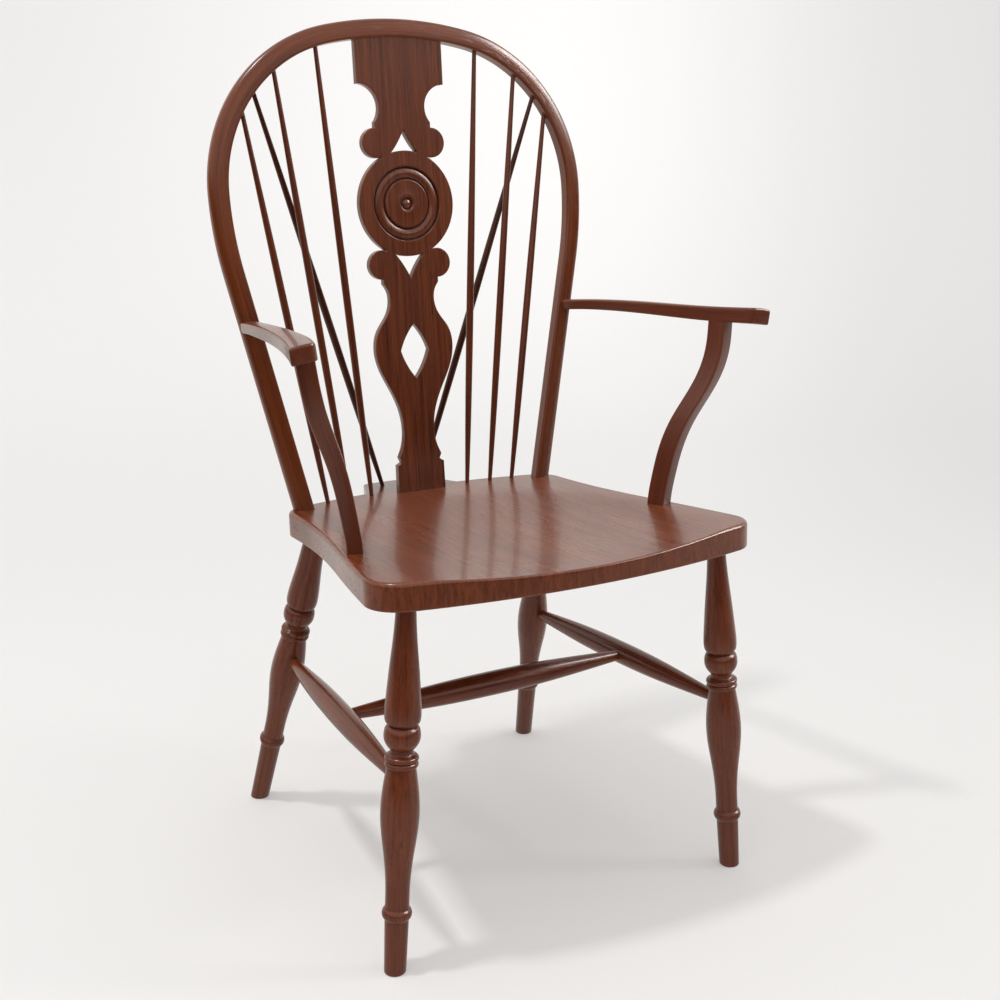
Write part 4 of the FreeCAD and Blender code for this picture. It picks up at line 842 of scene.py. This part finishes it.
def splat_holes():
    """The two curved triangles above and below the wheel and the long diamond in the vase."""
    holes = []
    for (half, apex), sign in ((UPPER_PIERCING, 1), (LOWER_PIERCING, -1)):
        rise = math.sqrt(WHEEL_RADIUS ** 2 - half ** 2)
        left = complex(-half, WHEEL_HEIGHT + sign * rise)
        right = complex(half, WHEEL_HEIGHT + sign * rise)
        tip = complex(0, WHEEL_HEIGHT + sign * apex)
        base = arc_through(left, complex(0, WHEEL_HEIGHT + sign * WHEEL_RADIUS), right)
        flanks = [bulged(right, tip, sign * PIERCING_BOW), bulged(tip, left, sign * PIERCING_BOW)]
        hole = np.concatenate([base[:-1], flanks[0][:-1], flanks[1][:-1]])
        holes.append(hole[::-1] if sign > 0 else hole)
    half, mid, high, low = DIAMOND
    corners = [complex(0, high), complex(-half, mid), complex(0, low), complex(half, mid)]
    sides = [bulged(corners[n], corners[(n + 1) % 4], -DIAMOND_BOW)[:-1] for n in range(4)]
    holes.append(np.concatenate(sides)[::-1])
    return holes


def wheel_profile():
    """Radius and depth, from the plain rim over the carved ring to the boss in its pit."""
    mid, out, low = (RING_OUTER + RING_INNER) / 2, RING_OUTER, RING_INNER
    ring = [(out + 3.4, 0.0), (out + 2.0, 0.0), (out + 1.3, -0.15), (out + 0.8, -1.2), (out + 0.4, -2.6),
            (out - 0.3, -RING_GROOVE), (out - 1.5, -2.0), (out - 3.6, -0.8), (mid, -0.15),
            (low + 3.6, -0.8), (low + 1.5, -2.0), (low + 0.3, -RING_GROOVE), (low - 0.4, -2.6),
            (low - 0.8, -1.2), (low - 1.3, -0.15), (low - 2.0, 0.0), (low - 3.6, 0.0)]
    boss = BOSS_RADIUS
    pit = [(PIT_REACH, 0.0), (boss + 3.2, 0.0), (boss + 2.5, -0.2), (boss + 1.6, -1.5),
           (boss + 0.5, -BOSS_GROOVE), (boss - 0.4, -2.2), (boss * 0.75, -1.3), (boss * 0.5, -0.55),
           (boss * 0.25, -0.15), (0.4, 0.0)]
    return np.concatenate([smooth_line(ring, 90), smooth_line(pit, 50)])


splat_wood = stained_wood("splat_wood", (0.094, 0.0180, 0.0042), (0.214, 0.053, 0.0175),
                          1.0, 0.009, 0.24, 0.35)
fret = Piece("fretted_splat", (5.0, 220.0, 40.0))
splat_bands = board_edges(fret, [splat_outline()] + splat_holes(), SPLAT_THICK, SPLAT_EDGE, splat_to_room)
circle = np.exp(2j * np.pi * np.arange(200) / 200)
carving = wheel_profile()
plan = 1j * WHEEL_HEIGHT + carving[:, :1] * circle
depth = np.broadcast_to(carving[:, 1:] + SPLAT_THICK / 2, plan.shape)
wheel = np.stack([plan.real, plan.imag, depth], axis=-1)
# The bottom of each groove is darkest: gathered stain and painted shade.
groove = np.where(carving[:, 0] < PIT_REACH + 0.5, BOSS_GROOVE, RING_GROOVE)
cut = np.clip(-carving[:, 1] / groove, 0, 1)
groove_stain_and_shade = np.broadcast_to((0.1 - cut ** 1.8)[:, None], plan.shape)
fret.grid(splat_to_room(wheel), wheel[..., (0, 2, 1)], groove_stain_and_shade, caps=(False, True))
board_faces(fret, splat_bands, SPLAT_THICK, splat_to_room, plan[0])
fret.make(splat_wood, "splat", 60.0)


# Spindles and braces
# Eight slender turned sticks, thickest below the middle, glued into drilled holes at both ends. Six
# stand in the seat and two, behind them, slope from the bobtail to the shoulders of the bow.
# Name, foot in the seat, and how far from the middle the top meets the bow.
SPINDLES = (("inner", 71.0, 163.0, 430.0, 110.4), ("middle", 104.5, 160.0, 430.0, 166.6),
            ("outer", 135.8, 155.0, 430.4, 210.6))
BRACE_FOOT = (28.5, 219.6, 425.0)
BRACE_TOP_X = 194.3
SPINDLE_END_RADIUS = 2.7
SPINDLE_SWELL_RADIUS = 4.8
SPINDLE_SWELL_AT = 0.42
SIDES = (("left", -1), ("right", 1))


def bow_height(x):
    """Height up the bow's plane of its inner edge over the shoulder or the crown."""
    crown, shoulder, *_ = bow_radii()
    inset = BOW_WIDE / 2
    if x < (crown - inset) * math.sin(math.radians(BOW_CROWN_ANGLE)):
        return BOW_TOP - crown + math.sqrt((crown - inset) ** 2 - x ** 2)
    centre = BOW_HALF_WIDTH - shoulder
    return BOW_WIDEST + math.sqrt((shoulder - inset) ** 2 - (x - centre) ** 2)


def square_to(way):
    """Two directions square to a way and to each other."""
    way = way / np.linalg.norm(way)
    side = np.cross(way, (0.0, 1.0, 0.0) if abs(way[1]) < 0.8 else (1.0, 0.0, 0.0))
    side /= np.linalg.norm(side)
    return side, np.cross(way, side), way


def turned(piece, profile, start, way, around, level_over=0.0):
    """A profile of (height, radius) carried round a line.

    The first ring can be cut level with the floor, which eases out over a height up the piece.
    """
    side, front, along = square_to(np.array(way, dtype=float))
    angle = 2 * np.pi * np.arange(around) / around
    rim = np.cos(angle)[:, None] * side + np.sin(angle)[:, None] * front
    height, radius = profile[:, 0], profile[:, 1]
    rows = np.broadcast_to(height[:, None], (len(profile), around)).copy()
    if level_over > 0:
        cut = -(radius[:, None] * rim[None, :, 2]) / along[2]
        rows += cut * np.clip(1 - height / level_over, 0, 1)[:, None]
    points = np.array(start) + rows[..., None] * along + radius[:, None, None] * rim
    local = np.stack([radius[:, None] * np.cos(angle), radius[:, None] * np.sin(angle), rows], axis=-1)
    bend = np.unwrap(np.arctan2(np.gradient(radius), np.gradient(height)))
    turn = -np.gradient(bend) / np.maximum(np.hypot(np.gradient(radius), np.gradient(height)), 0.05)
    # Crests are rubbed lighter; creases between beads are darkened by gathered stain and painted shade.
    wear = np.broadcast_to((np.clip(turn, -0.7, 0.7) * 1.3)[:, None], rows.shape)
    piece.grid(points, local, wear, caps=(True, True))


def stick_profile(length, sunk=3.0):
    """One smooth curve, thin at both ends and thickest at the swell, and a straight end in each hole."""
    end, gain = SPINDLE_END_RADIUS, SPINDLE_SWELL_RADIUS - SPINDLE_END_RADIUS
    at = length * SPINDLE_SWELL_AT
    rest = length - at
    points = [(0.0, end), (at * 0.25, end + gain * 0.5), (at * 0.68, end + gain * 0.92), (at, end + gain),
              (at + rest * 0.34, end + gain * 0.86), (at + rest * 0.72, end + gain * 0.38), (length, end)]
    return np.concatenate([[(-sunk, end)], smooth_line(points, 80), [(length + sunk, end)]])


turned_wood = stained_wood("turned_wood", (0.105, 0.0190, 0.0050), (0.225, 0.053, 0.0175),
                           0.6, 0.004, 0.20, 0.1)
# A darker copy of the leg stain for the spindles: painted shade on the thin sticks.
spindle_wood = stained_wood("spindle_wood", (0.085, 0.0150, 0.0040), (0.185, 0.043, 0.0140),
                            0.5, 0.004, 0.20, 0.1)
# A much darker copy for the braces: painted shade, where the seat and the bobtail keep light from them.
brace_wood = stained_wood("brace_wood", (0.045, 0.0080, 0.0024), (0.120, 0.026, 0.0085),
                          0.5, 0.004, 0.22, 0.0)
for side_name, sign in SIDES:
    sticks = [("spindle_%s_%s" % (side_name, name), (x, y, z), top) for name, x, y, z, top in SPINDLES]
    sticks.append(("brace_" + side_name, BRACE_FOOT, BRACE_TOP_X))
    for number, (node, foot, top_x) in enumerate(sticks):
        top = bow_to_room(top_x * sign, bow_height(top_x), 0.0)
        foot = np.array((foot[0] * sign, foot[1], foot[2]))
        stick = Piece(node.replace("_", "_stick_", 1), (30.0 * number, 700.0 * sign, 650.0 * number))
        turned(stick, stick_profile(np.linalg.norm(top - foot)), foot, top - foot, 28)
        stick.make(spindle_wood if "spindle" in node else brace_wood, node, 60.0)


# Legs
# Four turned legs of one pattern, glued into the underside of the seat: straight foot, ankle ring,
# long swell, double ring, neck, ball and tapering vase. The back legs rake more and stand higher on
# their feet.
# Name, foot on the floor, lean over the height of the leg, and height of the ankle ring.
LEGS = (("leg_front", (232.7, -222.0, 0.0), (-28.9, 15.4, 410.0), 70.0),
        ("leg_back", (212.8, 248.0, 0.0), (-46.5, -123.7, 400.0), 100.0))
FOOT_RADIUS = 12.2
SHIN_RADIUS = 13.3
ANKLE_RADIUS = 16.6
LEG_SWELL_RADIUS = 21.2
COLLAR_RADIUS = 18.5
NECK_RADIUS = 12.6
BALL_RADIUS = 19.9
VASE_RADIUS = 19.8
LEG_TOP_RADIUS = 10.6
LEG_SUNK = 2.0
FOOT_LEVEL_OVER = 12.0


def ring_arc(low, crest_point, high, count=14):
    """Arc through three points of a profile."""
    points = [complex(*low), complex(*crest_point), complex(*high)]
    run = arc_through(*points, step=abs(points[2] - points[0]) / count)
    return np.column_stack([run.real, run.imag])


def softened(profile, step, blur):
    """The same profile with evenly spaced points and its corners eased over a few tenths of a mm."""
    run = np.concatenate([[0], np.cumsum(np.hypot(*np.diff(profile, axis=0).T))])
    at = np.linspace(0, run[-1], int(run[-1] / step))
    reach = int(3 * blur / step) + 1
    kernel = np.exp(-0.5 * (np.arange(-reach, reach + 1) * step / blur) ** 2)
    kernel /= kernel.sum()
    height = np.pad(np.interp(at, run, profile[:, 0]), reach, mode="reflect", reflect_type="odd")
    radius = np.pad(np.interp(at, run, profile[:, 1]), reach, mode="edge")
    return np.column_stack([np.convolve(row, kernel, mode="valid") for row in (height, radius)])


def leg_profile(a, top):
    """Height and radius up the leg, bead by bead, from the height a of its ankle ring."""
    return softened(np.concatenate([
        [(0.0, FOOT_RADIUS - 1.2), (1.2, FOOT_RADIUS)],
        smooth_line([(2.0, FOOT_RADIUS), (a - 30, SHIN_RADIUS - 0.4), (a - 7.5, SHIN_RADIUS)], 60),
        ring_arc((a - 6.3, SHIN_RADIUS + 0.7), (a, ANKLE_RADIUS), (a + 6.0, SHIN_RADIUS + 0.7)),
        smooth_line([
            (a + 7.6, SHIN_RADIUS), (a + 30, SHIN_RADIUS + 0.1), (a + 66, SHIN_RADIUS + 3.0),
            (a + 98, LEG_SWELL_RADIUS - 0.9), (a + 117, LEG_SWELL_RADIUS),
            (a + 140, LEG_SWELL_RADIUS - 1.4), (a + 167, COLLAR_RADIUS - 2.4)], 200),
        ring_arc((a + 168, COLLAR_RADIUS - 2.3), (a + 171.5, COLLAR_RADIUS),
                 (a + 175, COLLAR_RADIUS - 2.3)),
        ring_arc((a + 175, COLLAR_RADIUS - 2.3), (a + 178.2, COLLAR_RADIUS + 0.2),
                 (a + 181.5, COLLAR_RADIUS - 2.8)),
        smooth_line([(a + 181.6, COLLAR_RADIUS - 2.3), (a + 184.0, NECK_RADIUS + 0.4),
                     (a + 186.5, NECK_RADIUS), (a + 189.0, NECK_RADIUS + 0.8)], 20),
        smooth_line([
            (a + 189.6, NECK_RADIUS + 2.0), (a + 193.5, BALL_RADIUS - 2.6), (a + 199.0, BALL_RADIUS - 0.4),
            (a + 204.0, BALL_RADIUS), (a + 209.5, BALL_RADIUS - 0.7), (a + 213.3, BALL_RADIUS - 2.7),
            (a + 215.2, BALL_RADIUS - 5.2)], 50),
        smooth_line([
            (a + 216.2, VASE_RADIUS - 4.0), (a + 217.6, VASE_RADIUS - 1.9), (a + 221, VASE_RADIUS - 0.5),
            (a + 228, VASE_RADIUS), (a + 244, VASE_RADIUS - 0.9), (a + 284, VASE_RADIUS - 4.4),
            (a + 318, LEG_TOP_RADIUS + 1.6), (top, LEG_TOP_RADIUS)], 160),
    ]), 0.36, 0.28)


for name, foot, lean, ankle in LEGS:
    lean = np.array(lean)
    for side_name, sign in SIDES:
        way = lean * (sign, 1, 1)
        start = np.array(foot) * (sign, 1, 1)
        slope = math.tan(math.radians(SEAT_PITCH))
        under = SEAT_HEIGHT - SEAT_THICK - (foot[1] + lean[1]) * slope + LEG_SUNK
        reach = np.linalg.norm(way) * under / way[2]
        shift = (60.0 * sign, 5 * ankle, 37.0 * sign)
        leg = Piece("%s_%s" % (name.replace("leg", "turned_leg"), side_name), shift)
        turned(leg, leg_profile(ankle, reach), start, way, 64, FOOT_LEVEL_OVER)
        leg.make(turned_wood, "%s_%s" % (name, side_name), 60.0)


# Stretchers
# Two cigar shaped stretchers join each front leg to the back leg behind it, and a thicker one
# crosses between them. All are glued into drilled sockets.
STRETCHER_HEIGHT = 220.5
STRETCHER_END_RADIUS = 6.8
SIDE_STRETCHER_RADIUS = 14.4
CROSS_STRETCHER_RADIUS = 15.2
CROSS_STRETCHER_Y = -26.0
STRETCHER_SUNK = 4.0
CROSS_STRETCHER_SUNK = 3.0


def cigar_profile(length, radius):
    """Radius that swells evenly from both ends to the middle."""
    end, gain, half = STRETCHER_END_RADIUS, radius - STRETCHER_END_RADIUS, length / 2
    points = [(-half, end), (-half * 0.78, end + gain * 0.34), (-half * 0.42, end + gain * 0.82),
              (0.0, radius),
              (half * 0.42, end + gain * 0.82), (half * 0.78, end + gain * 0.34), (half, end)]
    return smooth_line(points, 110)


def leg_axis(leg, height):
    """Place on a right-hand leg's middle line at a height."""
    foot, lean = np.array(leg[1]), np.array(leg[2])
    return foot + lean * (height / lean[2])


front_at = leg_axis(LEGS[0], STRETCHER_HEIGHT)
back_at = leg_axis(LEGS[1], STRETCHER_HEIGHT)
way = (back_at - front_at) / np.linalg.norm(back_at - front_at)
first = front_at + way * (LEG_SWELL_RADIUS - STRETCHER_SUNK)
last = back_at - way * (LEG_SWELL_RADIUS - STRETCHER_SUNK)
for side_name, sign in SIDES:
    middle = (first + last) / 2 * (sign, 1, 1)
    bar = Piece("side_bar_" + side_name, (90.0 * sign, 40.0, 210.0))
    profile = cigar_profile(np.linalg.norm(last - first), SIDE_STRETCHER_RADIUS)
    turned(bar, profile, middle, (last - first) * (sign, 1, 1), 48)
    bar.make(turned_wood, "side_stretcher_" + side_name, 60.0)
share = (CROSS_STRETCHER_Y - front_at[1]) / (back_at[1] - front_at[1])
cross_at = front_at + (back_at - front_at) * share
bar = Piece("cross_bar", (10.0, 130.0, -400.0))
reach = cross_at[0] - SIDE_STRETCHER_RADIUS + CROSS_STRETCHER_SUNK
profile = cigar_profile(2 * reach, CROSS_STRETCHER_RADIUS)
turned(bar, profile, (0.0, cross_at[1], cross_at[2]), (1.0, 0.0, 0.0), 48)
bar.make(turned_wood, "cross_stretcher", 60.0)


# Arms
# Two flat shaped arms, wider and thicker at the front, each butted against the front of the bow and
# held by a screw. The heel is rounded underneath and the nose has softened corners.
# Depth, middle, height of the top, width, thickness, and roll in degrees.
ARM_STATIONS = ((176.0, 225.6, 665.0, 21.5, 12.5, 0.0), (131.0, 233.6, 670.0, 20.0, 12.6, 1.5),
                (85.0, 241.3, 673.8, 19.6, 13.2, 3.0), (18.0, 250.0, 677.8, 21.5, 14.4, 4.5),
                (-49.0, 259.8, 680.4, 25.5, 15.8, 6.0), (-110.0, 273.2, 682.8, 28.8, 17.4, 7.5),
                (-165.0, 290.6, 685.8, 29.0, 18.4, 8.5))
ARM_HEEL_Y = 160.6
ARM_HEEL_Z = 661.0
ARM_NOSE_Y = -165.0
ARM_HEEL_ROUND = 8.0
ARM_CORNERS = (1.6, 2.0, 2.6, 2.6)
ARM_CROWN = 0.9
ARM_NOSE = {"inner": 5.5, "outer": 2.4, "top": 3.2, "bottom": 1.8}


def quarter(distance, radius):
    """How far a rounded corner stands back from the square one, at a distance from the end."""
    left = np.clip(radius - distance, 0, radius)
    return radius - np.sqrt(radius ** 2 - left ** 2)


def eased_box(inner, outer, low, high, radii):
    """Rectangle with rounded corners, drawn with the same number of points at every size."""
    turn = np.radians(np.linspace(0, 90, 7))
    corners = ((inner, low, 1, 1), (outer, low, -1, 1), (outer, high, -1, -1), (inner, high, 1, -1))
    arcs = [complex(x, z) + radius * (complex(a, b) + np.exp(1j * (math.pi * (1 + k / 2) + turn)))
            for k, ((x, z, a, b), radius) in enumerate(zip(corners, radii))]
    share = np.linspace(0, 1, 9)[1:-1]
    flats = [arc[-1] + (arcs[(k + 1) % 4][0] - arc[-1]) * share for k, arc in enumerate(arcs)]
    return np.concatenate([run for pair in zip(arcs, flats) for run in pair])


def arm_surface():
    """Sections carried from the bow to the nose, drawn in to round the heel and the nose.

    Near the bow each section leans back with the bow's rake, so that the heel lies flat on it.
    """
    fine = smooth_line(ARM_STATIONS, 400)
    gap = np.concatenate([0.5 * np.linspace(0, 1, 4)[:-1], 0.5 + 9.0 * np.linspace(0, 1, 10) ** 1.3])
    ys = np.concatenate([ARM_HEEL_Y - gap, np.linspace(ARM_HEEL_Y - 13.0, ARM_NOSE_Y + 7.0, 70),
                         ARM_NOSE_Y + 7.0 * (1 - np.linspace(0, 1, 16)[1:]) ** 1.8])
    rows = []
    grain = []
    bow_tilt = math.tan(math.radians(BOW_RAKE))
    for y in ys:
        x, top, width, thick, roll = [np.interp(-y, -fine[:, 0], fine[:, k]) for k in range(1, 6)]
        heel, nose = ARM_HEEL_Y - y, y - ARM_NOSE_Y
        inner = -width / 2 + quarter(nose, ARM_NOSE["inner"])
        outer = width / 2 - quarter(nose, ARM_NOSE["outer"])
        high = thick / 2 - quarter(nose, ARM_NOSE["top"])
        low = -thick / 2 + quarter(nose, ARM_NOSE["bottom"]) + quarter(heel, ARM_HEEL_ROUND)
        ring = eased_box(inner, outer, low, high, ARM_CORNERS)
        on_top = np.clip((ring.imag - high) / ARM_CORNERS[-1] + 1, 0, 1)
        crown = ARM_CROWN * np.clip(1 - (2 * ring.real / width) ** 2, 0, 1) * on_top
        tilted = (ring + 1j * crown) * np.exp(-1j * math.radians(roll))
        z = top - thick / 2 + tilted.imag
        follow = np.clip(1 - heel / 40.0, 0, 1) * (z - ARM_HEEL_Z) * bow_tilt
        rows.append(np.stack([x + tilted.real, np.full(len(ring), y) + follow, z], axis=-1))
        grain.append(np.stack([ring.real, ring.imag, np.full(len(ring), -y)], axis=-1))
    return np.array(rows), np.array(grain)


def ring_wear(rows, scale):
    """Wear of rows that close on themselves, from how sharply each row turns, per mm."""
    step = np.roll(rows, -1, axis=1) - rows
    length = np.linalg.norm(step, axis=-1, keepdims=True) + 1e-6
    unit = step / length
    change = np.linalg.norm(unit - np.roll(unit, 1, axis=1), axis=-1)
    return change / ((length[..., 0] + np.roll(length[..., 0], 1, axis=1)) / 2) * scale


arm_wood = stained_wood("arm_wood", (0.105, 0.0190, 0.0050), (0.225, 0.053, 0.0175), 0.2, 0.006, 0.28)
rows, grain = arm_surface()
for side_name, sign in SIDES:
    arm = Piece("shaped_arm_" + side_name, (33.0 * sign, 820.0, 70.0 * sign))
    arm.grid(rows * (sign, 1, 1), grain, ring_wear(grain, 1.1), caps=(True, True))
    arm.make(arm_wood, "arm_" + side_name, 60.0)


# Arm posts
# Two shaped posts, sawn to a double curve and set at an angle, pegged into the seat and the arm.
# Height, middle across and in depth, width and thickness.
POST_STATIONS = ((436.0, 207.0, -86.6, 18.4, 23.7), (448.0, 207.9, -86.6, 18.4, 23.8),
                 (475.0, 212.4, -87.4, 18.6, 24.2), (510.0, 220.0, -90.2, 19.2, 24.6),
                 (543.0, 230.6, -96.4, 20.0, 24.8), (575.0, 245.0, -106.4, 20.8, 24.6),
                 (605.0, 257.8, -114.2, 21.2, 23.8), (635.0, 265.8, -117.0, 21.2, 23.0),
                 (668.5, 270.2, -114.8, 21.0, 22.4))
POST_TURN = 20.0
POST_CORNER = 1.8
POST_MEAN_HALF = 11.5


def post_surface():
    """Square section with eased corners carried up the double curve and turned about the upright."""
    fine = smooth_line(POST_STATIONS, 90)
    unit = rounded_corners([-1 - 1j, 1 - 1j, 1 + 1j, -1 + 1j], [POST_CORNER / POST_MEAN_HALF] * 4, 0.03)
    ring = fine[:, 3:4] / 2 * unit.real + 1j * fine[:, 4:5] / 2 * unit.imag
    turned_ring = ring * np.exp(1j * math.radians(POST_TURN))
    x = fine[:, 1:2] + turned_ring.real
    y = fine[:, 2:3] + turned_ring.imag
    z = np.broadcast_to(fine[:, :1], x.shape)
    return np.stack([x, y, z], axis=-1), np.stack([ring.real, ring.imag, z], axis=-1)


rows, grain = post_surface()
for side_name, sign in SIDES:
    post = Piece("shaped_post_" + side_name, (51.0 * sign, 330.0, -90.0 * sign))
    post.grid(rows * (sign, 1, 1), grain, ring_wear(rows, 1.6), caps=(True, True))
    post.make(arm_wood, "arm_post_" + side_name, 60.0)


# Dowels, screws and plugs
# Turned wooden pegs hidden in the bobtail joint, steel screws driven through the bow into the arms,
# and the wooden plugs glued in over their heads at the back of the bow.
def plain_wood(name, dark, light):
    """Turned peg wood, with fine streaks along its length, read from the place on the chair."""
    wood = Tree(bpy.data.materials.new(name))
    place = wood.add("ShaderNodeTexCoord", output=3)
    long = wood.add("ShaderNodeMapping", {}, {"Vector": place, "Scale": (900.0, 60.0, 900.0)})
    fibre = wood.add("ShaderNodeTexNoise", {}, {"Vector": long, "Scale": 1.0, "Detail": 3.0})
    browns = [(0.3, (*dark, 1.0)), (0.7, (*light, 1.0))]
    colour = wood.add("ShaderNodeValToRGB", {"stops": browns}, {0: fibre})
    bump = wood.add("ShaderNodeBump", {}, {"Strength": 0.3, "Distance": 0.0002, "Height": fibre})
    lacquer = wood.add("ShaderNodeBsdfPrincipled", {}, {
        "Base Color": colour, "Roughness": fibre * 0.1 + 0.3, "Normal": bump})
    return wood.finish(lacquer)


def zinc_steel():
    """Zinc plated steel with fine brushed streaks."""
    steel = Tree(bpy.data.materials.new("zinc_steel"))
    place = steel.add("ShaderNodeTexCoord", output=3)
    long = steel.add("ShaderNodeMapping", {}, {"Vector": place, "Scale": (1500.0, 90.0, 1500.0)})
    scratch = steel.add("ShaderNodeTexNoise", {}, {"Vector": long, "Scale": 1.0, "Detail": 4.0})
    greys = [(0.3, (0.36, 0.36, 0.37, 1.0)), (0.7, (0.60, 0.60, 0.60, 1.0))]
    colour = steel.add("ShaderNodeValToRGB", {"stops": greys}, {0: scratch})
    metal = steel.add("ShaderNodeBsdfPrincipled", {}, {
        "Base Color": colour, "Roughness": scratch * 0.2 + 0.25, "Metallic": 1.0})
    return steel.finish(metal)


plug_wood = plain_wood("plug_wood", (0.028, 0.009, 0.005), (0.085, 0.030, 0.018))
dowel_wood = plain_wood("dowel_wood", (0.30, 0.17, 0.09), (0.45, 0.29, 0.17))
finishes = (("screw_plugs", plug_wood), ("bobtail_dowels", dowel_wood), ("arm_screws", zinc_steel()))
for node, finish in finishes:
    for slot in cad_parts[node].material_slots:
        slot.material = finish
